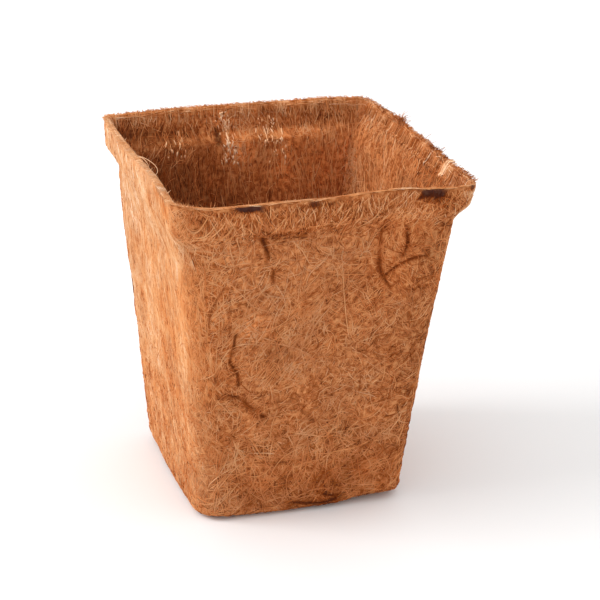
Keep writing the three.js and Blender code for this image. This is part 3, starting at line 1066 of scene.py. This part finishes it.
def front_strands(rng):
    """What is the front wall's own: straws at its foot, slanting fibre beside the lap, and single strands."""
    batches = lay(rng, FRONT, FRONT_OVER)
    for places in LONG_STRANDS:
        batches.append(bundle(rng, PLACED, places, 1, 0.0))
    for places in COLLAR_BUNDLES:
        batches.append(bundle(rng, BUNDLED, places, BUNDLE_STRANDS, BUNDLE_SPREAD))
    # strands along each crease, darkened there as painted shade of the crack
    for places, width, _ in CREASES:
        count = round(CRACK_STRANDS * width)
        batches.append(bundle(rng, CRACK, places, count, CRACK_SPREAD * width))
    for places in CORNER_STREAKS:
        batches.append(bundle(rng, STREAK, places, STREAK_STRANDS, STREAK_SPREAD))
    return batches


def corner_strands(rng):
    """Loose fibre that strays from the front wall over the corner to its left and covers the collar's."""
    batches = []
    for heights, count, share in CORNER_STRAYS:
        radius, centre = plan(np.array(sum(heights) / 2))[2:]
        reach = (-centre - share * radius * math.pi / 2, -centre)
        batches.append(scattered(rng, FRONT, STRAYS, count, heights, UPRIGHT, 45, reach))
    return batches


FULL_LONG = 9  # degrees of spread at which a part has its full share of long strands; wilder ones have less
PALE_COUNT, DARK_COUNT, CROSSING_COUNT = 7000, 1300, 900  # strands in the mat of the whole wall
LONG_COUNT, LOOSE_COUNT = 1100, 240  # and over it
COMBED_PARTS = (  # heights, share of the strands, their pale and dark kinds, and the degrees they spread by
    ((LOW, 52.0), 0.26, MATTED, DARK_MATTED, 46),
    ((34.0, 74.0), 0.1, MATTED, DARK_MATTED, 40),
    ((44.0, 90.0), 0.14, COMBED, DARK_MATTED, 28),
    ((70.0, STEP_FOOT + 8), 0.33, COMBED, DARK_COMBED, 18),
    ((STEP_FOOT - 12, TOP), 0.2, COMBED, DARK_COMBED, 14),
)


def combed_strands(wall):
    """A wall whose fibre is combed upright from the rim to the foot."""
    rng = np.random.default_rng(OUTER_SEED + wall)
    flat = plan(np.array(HEIGHT))[3]
    mat, over = [], []
    for heights, share, pale, dark, spread in COMBED_PARTS:
        places = ALL_ROUND if heights[1] < TOP else (-flat, flat)
        long_share = share * FULL_LONG / spread
        mat += lay(rng, wall, (
            (pale, int(PALE_COUNT * share), heights, UPRIGHT, spread, places),
            (dark, int(DARK_COUNT * share), heights, UPRIGHT, spread, places),
            (CROSSING, int(CROSSING_COUNT * share), heights, UPRIGHT, 60, places),
        ))
        over += lay(rng, wall, (
            (COMBED_LONG, int(LONG_COUNT * long_share), heights, UPRIGHT, 6, places),
            (COMBED_LOOSE, int(LOOSE_COUNT * share), heights, UPRIGHT, 45, places),
        ))
    return [tubes(WALLS[wall] + "_mat", mat), tubes(WALLS[wall] + "_strands", over)]


INNER_LAY = (  # inside each wall: random strands, upright ones and the degrees they spread by, dark ones
    (900, 4000, 10, 750),
    (3600, 1500, 32, 450),
    (900, 4000, 10, 750),
    (900, 4000, 10, 750),
)
FLECK_TRAILS = (  # places inside the back wall that a trail of pale flecks passes through, flecks, spread
    (((9.6, 149.0), (7.0, 143.0), (5.6, 138.0), (5.4, 132.0), (6.4, 127.0)), 84, 1.8),
    (((-16.5, 143.0), (-11.0, 138.0), (-15.6, 135.0), (-18.6, 126.0)), 50, 2.6),
    (((27.0, 136.5), (30.5, 134.0), (32.5, 130.5)), 16, 2.0),
)
FLECK_RUST = 0.35
INSIDE = (TONGUE_TOP - 6, TOP)  # heights of the strands on the inside
BACK_LINING = (
    (PALE_LINING, 26, (124.0, 138.0), -35, 14, (22.0, 42.0)),
    (DARK_LINING, 160, (138.0, TOP), UPRIGHT, 14),
    (LINING, 120, LEDGES[BACK] + 0.5, 90, 16),
)


def inner_strands(wall):
    """The inside of a wall, where upright strands lie over random ones."""
    rng = np.random.default_rng(INNER_SEED + wall)
    tangled, upright, spread, dark = INNER_LAY[wall]
    batches = lay(rng, wall, (
        (LINING, tangled, INSIDE, UPRIGHT, 60),
        (LINING_UPRIGHT, upright, INSIDE, UPRIGHT, spread),
        (DARK_LINING, dark, INSIDE, UPRIGHT, 14),
        (PALE_LINING, 70, (137.0, TOP), 15, 25),
    ), outer=False)
    if wall == BACK:
        batches += back_lining(rng)
    return [tubes(WALLS[wall] + "_inner_mat", batches)]


def back_lining(rng):
    """What is the back wall's own inside: slanting, dark and level strands, and trails of pale flecks."""
    batches = lay(rng, BACK, BACK_LINING, outer=False)
    for places, count, spread in FLECK_TRAILS:
        trail = curve_through(places, count) + rng.normal(0, spread, (count, 2))
        x, z = paths(rng, BACK, FLECKS, count, (0, 0), (0, TOP), UPRIGHT, 15)
        x += trail[:len(x), :1] - x[:, :1]
        z += trail[:len(x), 1:] - z[:, :1]
        p, normal, thick, tone, _ = on_felt(rng, BACK, False, FLECKS, x, np.minimum(z, TOP))
        batches.append((p, normal, thick, tone, rusting(rng, p, FLECK_RUST)))
    return batches


# Strands of the rim

RIM_STEPS = 6
TURN_OVER = 0.5  # share of a strand that climbs the inner face before it turns over the rim
LYING = 420  # strands that lie along each rim
LYING_LENGTH, LYING_RADIUS, LYING_LIFT = (4, 14), (0.12, 0.19), (0, 0.2)  # ranges
LYING_WANDER = 0.8  # how far a lying strand strays across the rim along its way
LYING_INSET, LYING_TUCK = 0.1, 0.3  # how far it starts from the edges, and how deep its ends sink
LYING_CLUMPS, TURNED_CLUMPS = 1.5, 0.1  # how tones differ from place to place, the first in spreads
CLIMB, OVER_EDGE = (2, 7), (0.2, 1.1)  # how far turned-over strands reach down inside and out past the edge
CLIMB_LIFT, TURNED_RADIUS, PALE_RADIUS = (0.1, 0.35), (0.12, 0.22), (0.2, 0.32)  # their height and radius
TURNED_DRIFT, TURNED_TUCK = 2.2, 0.2  # how far they drift along the rim, and how deep they start
TURNED_RISE = 0.5  # share of the reach past the edge by which their tips rise
STUBBLE_REACH, STUBBLE_RADIUS = (0.4, 1.7), (0.1, 0.18)  # of the cut ends all along a rim
STUBBLE_ROOT, STUBBLE_INSET = 0.3, 0.6  # how deep a cut end stands, and how far from the inner edge
STUBBLE_BEND, STUBBLE_OUT, STUBBLE_SWAY = 0.5, 0.25, 1.2  # spread of its bends, mean lean, gain of its sway
STUBBLE_UNEVEN, STUBBLE_TAPER = 0.8, 0.5  # how its reach differs from place to place; its tip's taper
TIP_TAPER = 0.4  # how much thinner rim strands are at their tips
RIM_LOOK = {  # tone at the outer and inner edge of each rim; strands turned over it, standing on it, tone
    # the front rim's outer edge is paler and its inner edge darker: partly pale trimmed fibre, partly a
    # painted highlight and painted shade
    FRONT: (0.68, 0.5, 60, 70, (0.6, 0.1)),
    RIGHT: (0.5, 0.56, 580, 400, (0.52, 0.17)),
    BACK: (0.5, 0.56, 460, 60, (0.58, 0.14)),
    LEFT: (0.76, 0.77, 240, 110, (0.76, 0.06)),
}
TUFTS = (  # wall, place along it, spread, hairs, range of their reach, tone
    (RIGHT, 23.0, 3.2, 150, (1.5, 4.6), (0.48, 0.18)),
    (RIGHT, 43.0, 2.5, 45, (0.6, 2.0), (0.2, 0.06)),
    (RIGHT, 7.0, 4.0, 90, (0.8, 2.6), (0.4, 0.14)),
    (RIGHT, -18.0, 3.0, 50, (0.8, 2.4), (0.22, 0.08)),
    (RIGHT, -27.0, 1.6, 30, (0.8, 2.0), (0.2, 0.06)),
    (RIGHT, -47.0, 7.0, 60, (0.6, 2.0), (0.4, 0.15)),
    (FRONT, -60.0, 3.5, 60, (0.6, 2.2), (0.62, 0.08)),
)
PALE_BUNDLE = (-34.0, 1.5, 18, (0.97, 0.05))  # place along the right wall, spread, strands, tone
RIM_CURLS = (  # places that loose curls over the left rim pass through
    (
        (-62.6, 4.0, 150.6), (-59.6, -2.0, 151.4), (-57.6, -10.0, 151.0),
        (-58.0, -16.0, 150.2), (-61.2, -21.0, 149.8),
    ),
    ((-62.8, 2.0, 150.4), (-60.6, -3.0, 151.6), (-60.0, -9.0, 150.4), (-61.8, -13.0, 150.0)),
)
CURL_STEPS, CURL_RADIUS, CURL_TONE, CURL_RUST = 11, 0.17, 0.86, 0.4
RIM_RUST = (-0.25, 0.1, 0.1, -0.15)  # how much rustier than the rest each rim is
LEFT_RIM_FADE = 0.18  # how much darker the left rim is at its front end than at its middle
UP = np.array([0.0, 0.0, 1.0])


def rim_places(rng, count):
    """Places along a rim for a number of strands, as a column."""
    radius, centre = plan(np.array(HEIGHT))[2:]
    return rng.random((count, 1)) * (2 * centre + radius * math.pi / 2) - centre


def on_rim(wall, x, depth):
    """Points on the trimmed top of a wall."""
    return rim_top(on_shell(wall, x, np.full(x.shape, HEIGHT), depth)[0], depth)


def rim_batch(rng, p, normal, thick, tone):
    """Strands of the rim with their tones kept in range, and some rust."""
    rust = rusting(rng, p, by_wall(p, RIM_RUST))
    return p, np.broadcast_to(normal, p.shape), thick, np.clip(tone, DARKEST, 1), rust


def lying(rng, wall, outer_tone, inner_tone, spread):
    """Strands that lie along the trimmed rim."""
    t = np.linspace(0, 1, RIM_STEPS)
    ends = to_ends(t)
    x = rim_places(rng, LYING) + rng.uniform(*LYING_LENGTH, (LYING, 1)) * (t - 0.5)
    depth = rng.uniform(LYING_INSET, FELT - LYING_INSET, (LYING, 1))
    depth = np.clip(depth + rng.normal(0, LYING_WANDER, (LYING, 1)) * (t - 0.5), 0, FELT)
    lift = rng.uniform(*LYING_LIFT, (LYING, 1)) - LYING_TUCK * ends
    p = on_rim(wall, x, depth) + UP * lift[..., None]
    tone = outer_tone + (inner_tone - outer_tone) * depth / FELT
    if wall == LEFT:
        tone = tone - LEFT_RIM_FADE * x / RIM_HALF
    tone = tone + rng.normal(0, spread, (LYING, 1))
    tone = tone + LYING_CLUMPS * spread * noise(p, *RIM_TONE_NOISE)
    thick = rng.uniform(*LYING_RADIUS, (LYING, 1)) * (1 - TIP_TAPER * ends)
    return rim_batch(rng, p, UP, thick, tone)


def turned_over(rng, wall, x, tone, radius=TURNED_RADIUS):
    """Strands that climb the inner face, turn over the rim and end just past its outer edge."""
    count = len(x)
    t = np.linspace(0, 1, RIM_STEPS)
    x = x + rng.normal(0, TURNED_DRIFT, (count, 1)) * t
    z = HEIGHT - rng.uniform(*CLIMB, (count, 1)) * share_between(t, TURN_OVER, 0)
    past = share_between(t, TURN_OVER, 1)
    over_edge = rng.uniform(*OVER_EDGE, (count, 1))
    rise = rng.uniform(*CLIMB_LIFT, (count, 1))
    climb = felt_at(wall, x, z, False, rise * (t > 0) - TURNED_TUCK * (t == 0))[0]
    over = on_rim(wall, x, FELT - (FELT + over_edge) * past)
    over = over + UP * (rise + TURNED_RISE * over_edge * past**3)[..., None]
    p = np.where((t < TURN_OVER)[:, None], climb, over)
    thick = rng.uniform(*radius, (count, 1)) * (1 - TIP_TAPER * t)
    own_tone = rng.normal(*tone, (count, 1)) + TURNED_CLUMPS * noise(p, *RIM_TONE_NOISE)
    return rim_batch(rng, p, UP, thick, own_tone)


def standing(rng, wall, x, reach, tone):
    """Cut ends that stand up from the rim, with a range for how far they reach."""
    count = len(x)
    t = np.linspace(0, 1, RIM_STEPS)
    x = x + 0 * t
    root = on_rim(wall, x, rng.uniform(0.0, FELT - STUBBLE_INSET, (count, 1)) + 0 * t)
    out = on_shell(wall, x, np.full(x.shape, HEIGHT), 0.0)[1]
    far = rng.uniform(*reach, (count, 1)) * (1 + STUBBLE_UNEVEN * noise(root[:, :1], *TUFT_NOISE))
    lean, sway, bow = rng.normal(0, STUBBLE_BEND, (3, count, 1))
    p = root + out * (far * ((lean + STUBBLE_OUT) * t + bow * t**2))[..., None]
    p = p + np.cross(UP, out) * (far * STUBBLE_SWAY * sway * t)[..., None]
    p[..., 2] += far * t - STUBBLE_ROOT
    thick = rng.uniform(*STUBBLE_RADIUS, (count, 1)) * (1 - STUBBLE_TAPER * t)
    return rim_batch(rng, p, out, thick, rng.normal(*tone, (count, 1)) + 0 * t)


def rim_strands(wall):
    """Strands that lie along the trimmed rim or turn over it, and cut ends and tufts that stand on it."""
    rng = np.random.default_rng(RIM_SEED + wall)
    outer_tone, inner_tone, turned, upright, tone = RIM_LOOK[wall]
    batches = [
        lying(rng, wall, outer_tone, inner_tone, tone[1]),
        turned_over(rng, wall, rim_places(rng, turned), tone),
        standing(rng, wall, rim_places(rng, upright), STUBBLE_REACH, tone),
    ]
    for tuft_wall, place, spread, hairs, reach, tuft_tone in TUFTS:
        if tuft_wall == wall:
            batches.append(standing(rng, wall, rng.normal(place, spread, (hairs, 1)), reach, tuft_tone))
    if wall == RIGHT:
        place, spread, count, pale = PALE_BUNDLE
        batches.append(turned_over(rng, wall, rng.normal(place, spread, (count, 1)), pale, PALE_RADIUS))
    return tubes(WALLS[wall] + "_rim_strands", batches)


def rim_curls():
    """Loose strands that curl over the left rim."""
    batches = []
    for places in RIM_CURLS:
        p = curve_through(places, CURL_STEPS)[None]
        even = [np.full(p.shape[:2], value) for value in (CURL_RADIUS, CURL_TONE, CURL_RUST)]
        batches.append((p, np.broadcast_to(UP, p.shape), *even))
    return tubes("left_wall_rim_curls", batches)


# Strands of the base

BASE_COUNT = 3200  # strands on each face of the base
BASE_KIND = Kind(6, (5, 15), (0.13, 0.22), (0, 0.14), (0.54, 0.1), palest=0.8)
BASE_BEND = 0.5  # radians along a strand
BASE_INSET, BASE_OVERRUN = 3, 2  # how far from the floor's edge strands start, and how far out they may run
FLOOR_SEED, UNDERSIDE_SEED = 401, 402
BASE_STRAND_RUST = 0.1
INSIDE_CLEAR, UNDER_CLEAR = 0.12, 0.2  # least height of the strands inside and on the underside
DRAIN_CLEAR = 0.6  # strands stay this far from the drain hole


def floor_strands(name, seed, height, upward):
    """Strands on the base: on the floor inside, which faces upward, or on its underside."""
    rng = np.random.default_rng(seed)
    count, kind = BASE_COUNT, BASE_KIND
    t = np.linspace(0, 1, kind.steps)
    reach = FOOT_HALF - FELT - FLOOR_ROUND - BASE_INSET
    start = rng.uniform(-reach, reach, (count, 1, 2))
    heading = rng.uniform(0, 2 * math.pi, (count, 1)) + rng.normal(0, BASE_BEND, (count, 1)) * t
    run = rng.uniform(*kind.length, (count, 1)) / (kind.steps - 1)
    step = np.stack([np.cos(heading), np.sin(heading)], -1) * run[..., None]
    furthest = reach + BASE_OVERRUN
    flat = np.clip(start + np.cumsum(step, 1), -furthest, furthest)
    clear = (np.linalg.norm(flat, axis=-1) > DRAIN_RADIUS + DRAIN_CLEAR).all(1)
    flat = flat[clear]
    p = np.concatenate([flat, np.full(flat.shape[:2] + (1,), height)], -1)
    relief = layered(p, LUMPS)
    ends = to_ends(t)
    lift = rng.uniform(*kind.lift, (len(p), 1)) * (1 - ends) - END_TUCK * ends
    inside = np.maximum(relief + lift, INSIDE_CLEAR)
    under = np.maximum(UNDERSIDE_LIFT + relief - lift, UNDER_CLEAR)
    p = settle(p)
    p[..., 2] += inside if upward > 0 else under
    normal = np.broadcast_to(UP * upward, p.shape)
    thick = rng.uniform(*kind.radius, (len(p), 1)) * (1 - END_TAPER * ends)
    tone = np.clip(rng.normal(*kind.tone, (len(p), 1)) + mottling(p), DARKEST, kind.palest)
    return tubes(name, [(p, normal, thick, tone, rusting(rng, p, BASE_STRAND_RUST))])


# Materials

def linear(red, green, blue):
    """A colour written in screen values from 0 to 255, as a shader takes it."""
    values = [c / 255 for c in (red, green, blue)]
    values = [c / 12.92 if c <= 0.04045 else ((c + 0.055) / 1.055) ** 2.4 for c in values]
    return (*values, 1.0)


STAIN = linear(58, 30, 28)
RUST_COIR = linear(112, 50, 13)
DEEP_COIR = linear(164, 87, 35)
MID_COIR = linear(202, 126, 75)
WARM_COIR = linear(217, 150, 97)
PALE_COIR = linear(231, 176, 128)
STRAW_COIR = linear(254, 216, 178)
TONES = (
    (0.0, STAIN), (0.18, RUST_COIR), (0.36, DEEP_COIR), (0.52, MID_COIR),
    (0.66, WARM_COIR), (0.8, PALE_COIR), (1.0, STRAW_COIR),
)
RUST_CAST = (  # greyish to rusty
    (0.0, (0.94, 1.0, 1.12, 1)),
    (0.5, (1, 1, 1, 1)),
    (1.0, (1.02, 0.9, 0.76, 1)),
)
BLOTCH_CAST = ((0.3, (0.8, 0.78, 0.76, 1)), (0.7, (1, 1, 1, 1)))
# the tangled felt's ground is partly its own colour and partly painted shade of the gaps between strands
TANGLED_GROUND = ((0.38, RUST_COIR), (0.5, DEEP_COIR), (0.62, WARM_COIR))
COMBED_GROUND = ((0.3, MID_COIR), (0.6, WARM_COIR))
FIBRE_LAYERS = ((380, 0.05), (560, 0.06), (820, 0.07), (1150, 0.08))  # scale of the noise, width of its lines
FIBRE_DETAIL, FIBRE_DISTORTION, FIBRE_SHIFT = 1.0, 0.6, (0.13, 0.31)  # the shift is from layer to layer
SWIRLING_FIBRE, UPRIGHT_FIBRE = (1.0, 0.9), (0.14, 0.03)  # stretch, and turn from layer to layer
GROUND, BLOTCHES = (420.0, 4.0), (45.0, 3.0)  # scale and detail of the felt's fine and coarse noise
TANGLED_LINES, COMBED_LINES = 0.7, 0.6  # how strongly fibre lines show in the colour
LINE_HEIGHT = 0.4  # and in the relief
LIGHT_GAIN = 2.2  # how strongly light and dark patches show
SHADE_STRENGTH = 0.8  # how far the painted shade of creases, the lap groove and pits turns the felt toward the rust colour
BUMP_STRENGTH, BUMP_DISTANCE = 0.5, 0.0003  # the distance in metres
STRAND_ROUGHNESS, FELT_ROUGHNESS, COIR_SPECULAR = 0.75, 0.8, 0.1


class Shader:
    """A material's node tree, with a short way to add and join nodes."""

    def __init__(self, name):
        self.material = bpy.data.materials.new(name)
        self.material.use_nodes = True
        self.tree = self.material.node_tree
        self.principled = self.tree.nodes["Principled BSDF"]

    def add(self, kind, inputs=(), **settings):
        """A node with settings. Inputs are (socket, value or output socket) pairs."""
        node = self.tree.nodes.new(kind)
        for key, value in settings.items():
            setattr(node, key, value)
        for socket, value in inputs:
            self.join(node.inputs[socket], value)
        return node

    def join(self, socket, value):
        """Sets an input to a value, or links it to an output socket."""
        if isinstance(value, bpy.types.NodeSocket):
            self.tree.links.new(value, socket)
        else:
            socket.default_value = value

    def ramp(self, fac, stops):
        """Colours from (place, colour) stops along a factor."""
        node = self.add("ShaderNodeValToRGB", [("Fac", fac)])
        elements = node.color_ramp.elements
        while len(elements) < len(stops):
            elements.new(0.5)
        for element, (place, colour) in zip(elements, stops):
            element.position = place
            element.color = colour
        return node.outputs["Color"]

    def maths(self, operation, a, b=0.0):
        """What an operation makes of two numbers or sockets."""
        node = self.add("ShaderNodeMath", [(0, a), (1, b)], operation=operation)
        return node.outputs[0]

    def number(self, name):
        """A number that each point of a piece carries."""
        return self.add("ShaderNodeAttribute", attribute_name=name).outputs["Fac"]

    def cloud(self, place, scale, detail, distortion=0.0):
        """Flat noise over a place."""
        inputs = [("Vector", place), ("Scale", scale), ("Detail", detail), ("Distortion", distortion)]
        return self.add("ShaderNodeTexNoise", inputs, noise_dimensions="2D").outputs["Fac"]

    def mixed(self, fac, a, b, blend="MIX"):
        """Two colours mixed by a factor."""
        node = self.add("ShaderNodeMix", data_type="RGBA", blend_type=blend)
        self.join(node.inputs["Factor"], fac)
        self.join(node.inputs[6], a)
        self.join(node.inputs[7], b)
        return node.outputs[2]

    def finish(self, colour, roughness, specular):
        """The material, with its colour joined and its sheen set."""
        self.join(self.principled.inputs["Base Color"], colour)
        self.join(self.principled.inputs["Roughness"], roughness)
        self.join(self.principled.inputs["Specular IOR Level"], specular)
        return self.material


def strand_material():
    """Single strands: each has a tone of its own along the range from stained to straw-pale."""
    s = Shader("coir_strands")
    tone, cast = s.ramp(s.number("tone"), TONES), s.ramp(s.number("rust"), RUST_CAST)
    return s.finish(s.mixed(1.0, tone, cast, "MULTIPLY"), STRAND_ROUGHNESS, COIR_SPECULAR)


def fibre_lines(s, place, stretch, turn):
    """Thin bright lines where layers of noise cross their middle value, like fibres in a mat."""
    lines = 0.0
    for k, (scale, width) in enumerate(FIBRE_LAYERS):
        right, up = FIBRE_SHIFT
        moved = s.add("ShaderNodeMapping", [
            ("Vector", place), ("Location", (right * k, up * k, 0)),
            ("Rotation", (0, 0, turn * k)), ("Scale", (1, stretch, 1)),
        ])
        cloud = s.cloud(moved.outputs[0], scale, FIBRE_DETAIL, FIBRE_DISTORTION)
        away = s.maths("ABSOLUTE", s.maths("SUBTRACT", cloud, 0.5))
        line = s.add("ShaderNodeMapRange", [
            ("Value", away), ("From Min", 0.0), ("From Max", width), ("To Min", 1.0), ("To Max", 0.0),
        ])
        lines = s.maths("MAXIMUM", lines, line.outputs[0])
    return lines


def felt_material():
    """Pressed coir between the strands: fine fibres as thin bright lines over a darker ground, which is
    partly painted shade of the gaps between strands.
    """
    s = Shader("coir_felt")
    place = s.add("ShaderNodeUVMap", uv_map="felt").outputs["UV"]
    shade, stain, is_combed, light, rust = (s.number(name) for name in FELT_NUMBERS)
    swirling = fibre_lines(s, place, *SWIRLING_FIBRE)
    upright = fibre_lines(s, place, *UPRIGHT_FIBRE)
    ground = s.cloud(place, *GROUND)
    blotch = s.cloud(place, *BLOTCHES)
    tangled = s.mixed(s.maths("MULTIPLY", swirling, TANGLED_LINES), s.ramp(ground, TANGLED_GROUND), MID_COIR)
    combed = s.mixed(s.maths("MULTIPLY", upright, COMBED_LINES), s.ramp(ground, COMBED_GROUND), PALE_COIR)
    colour = s.mixed(is_combed, tangled, combed)
    colour = s.mixed(1.0, colour, s.ramp(blotch, BLOTCH_CAST), "MULTIPLY")
    colour = s.mixed(1.0, colour, s.ramp(rust, RUST_CAST), "MULTIPLY")
    gain = s.add("ShaderNodeMath", [(0, light), (1, LIGHT_GAIN), (2, 1.0)], operation="MULTIPLY_ADD")
    colour = s.mixed(1.0, colour, gain.outputs[0], "MULTIPLY")
    # painted shade of creases, the lap groove and pits
    colour = s.mixed(s.maths("MULTIPLY", shade, SHADE_STRENGTH), colour, RUST_COIR)
    height = s.maths("ADD", s.maths("MULTIPLY", swirling, LINE_HEIGHT), ground)
    inputs = [("Height", height), ("Strength", BUMP_STRENGTH), ("Distance", BUMP_DISTANCE)]
    bump = s.add("ShaderNodeBump", inputs)
    s.join(s.principled.inputs["Normal"], bump.outputs[0])
    return s.finish(s.mixed(stain, colour, STAIN), FELT_ROUGHNESS, COIR_SPECULAR)


# Studio

CAMERA_AZIMUTH, CAMERA_ELEVATION, CAMERA_ROLL = -18.497, 23.059, 1.942  # degrees
CAMERA_DISTANCE = 899.73  # from the middle of the pot
AIM_RIGHT, AIM_UP = 10.87, 5.3  # where the camera points, from the middle of the pot
FOCAL_PIXELS, IMAGE_PIXELS, SENSOR = 2040.1, 600, 36.0
UPWARD = Vector((0, 0, 1))
KEY_PLACE, KEY_SIZE, KEY_POWER = (-2.4, 0.35, 1.9), 1.4, 50.0  # metres and watts
LAMP_AIM = Vector((0, 0, 0.07))
FLOOR_EDGE = 4.0  # metres from the middle of the floor
FLOOR_GRAIN, FLOOR_DETAIL, FLOOR_ROUGHNESS = 90.0, 3.0, 0.9
FLOOR_SHADES = ((0.0, (0.9, 0.9, 0.9, 1)), (1.0, (0.93, 0.93, 0.93, 1)))


def add_camera():
    """The camera at the photograph's viewing angle, turned a little about its own axis."""
    azimuth, elevation = math.radians(CAMERA_AZIMUTH), math.radians(CAMERA_ELEVATION)
    level = math.cos(elevation)
    back = Vector((math.sin(azimuth) * level, -math.cos(azimuth) * level, math.sin(elevation)))
    middle = Vector((0, 0, HEIGHT / 2))
    place = middle + back * CAMERA_DISTANCE
    right = (-back).cross(UPWARD).normalized()
    aim = middle + right * AIM_RIGHT + right.cross(-back) * AIM_UP
    look = (aim - place).normalized()
    right = look.cross(UPWARD).normalized()
    facing_pot = Matrix((right, right.cross(look), -look)).transposed().to_4x4()
    roll = Matrix.Rotation(math.radians(CAMERA_ROLL), 4, "Z")
    data = bpy.data.cameras.new("camera")
    data.sensor_width = SENSOR
    data.lens = FOCAL_PIXELS / IMAGE_PIXELS * SENSOR
    camera = bpy.data.objects.new("camera", data)
    camera.matrix_world = Matrix.Translation(place * MM) @ facing_pot @ roll
    bpy.context.scene.collection.objects.link(camera)
    bpy.context.scene.camera = camera


def add_lamp(name, place, size, power):
    """A square soft box, in metres, that faces the pot."""
    data = bpy.data.lights.new(name, "AREA")
    data.size = size
    data.energy = power
    lamp = bpy.data.objects.new(name, data)
    lamp.location = place
    lamp.rotation_mode = "QUATERNION"
    lamp.rotation_quaternion = (LAMP_AIM - Vector(place)).to_track_quat("-Z", "Y")
    bpy.context.scene.collection.objects.link(lamp)


def add_studio():
    """A pale floor, an even white surround and a soft key from the left."""
    s = Shader("floor")
    inputs = [("Scale", FLOOR_GRAIN), ("Detail", FLOOR_DETAIL)]
    grain = s.add("ShaderNodeTexNoise", inputs).outputs["Fac"]
    s.join(s.principled.inputs["Base Color"], s.ramp(grain, FLOOR_SHADES))
    s.principled.inputs["Roughness"].default_value = FLOOR_ROUGHNESS
    half = FLOOR_EDGE
    mesh = bpy.data.meshes.new("floor")
    corners = [(-half, -half, 0), (half, -half, 0), (half, half, 0), (-half, half, 0)]
    mesh.from_pydata(corners, [], [(0, 1, 2, 3)])
    mesh.materials.append(s.material)
    floor = bpy.data.objects.new("floor", mesh)
    bpy.context.scene.collection.objects.link(floor)
    world = bpy.data.worlds.new("studio")
    world.use_nodes = True
    background = world.node_tree.nodes["Background"]
    background.inputs["Color"].default_value = (1, 1, 1, 1)
    background.inputs["Strength"].default_value = 1.0
    bpy.context.scene.world = world
    add_lamp("key", KEY_PLACE, KEY_SIZE, KEY_POWER)


add_camera()
add_studio()

felt = felt_material()
coir = strand_material()
for wall_number in range(4):
    wall_felt(wall_number).data.materials.append(felt)
base_felt().data.materials.append(felt)
for wall_number in range(4):
    outer_strands = combed_strands if wall_number == LEFT else tangled_strands
    for strands in outer_strands(wall_number) + inner_strands(wall_number) + [rim_strands(wall_number)]:
        strands.data.materials.append(coir)
floor_inside = floor_strands("floor_strands", FLOOR_SEED, FLOOR, 1.0)
underside = floor_strands("underside_strands", UNDERSIDE_SEED, 0.0, -1.0)
for strands in (floor_inside, underside, rim_curls()):
    strands.data.materials.append(coir)

bpy.context.scene.view_settings.view_transform = "Standard"
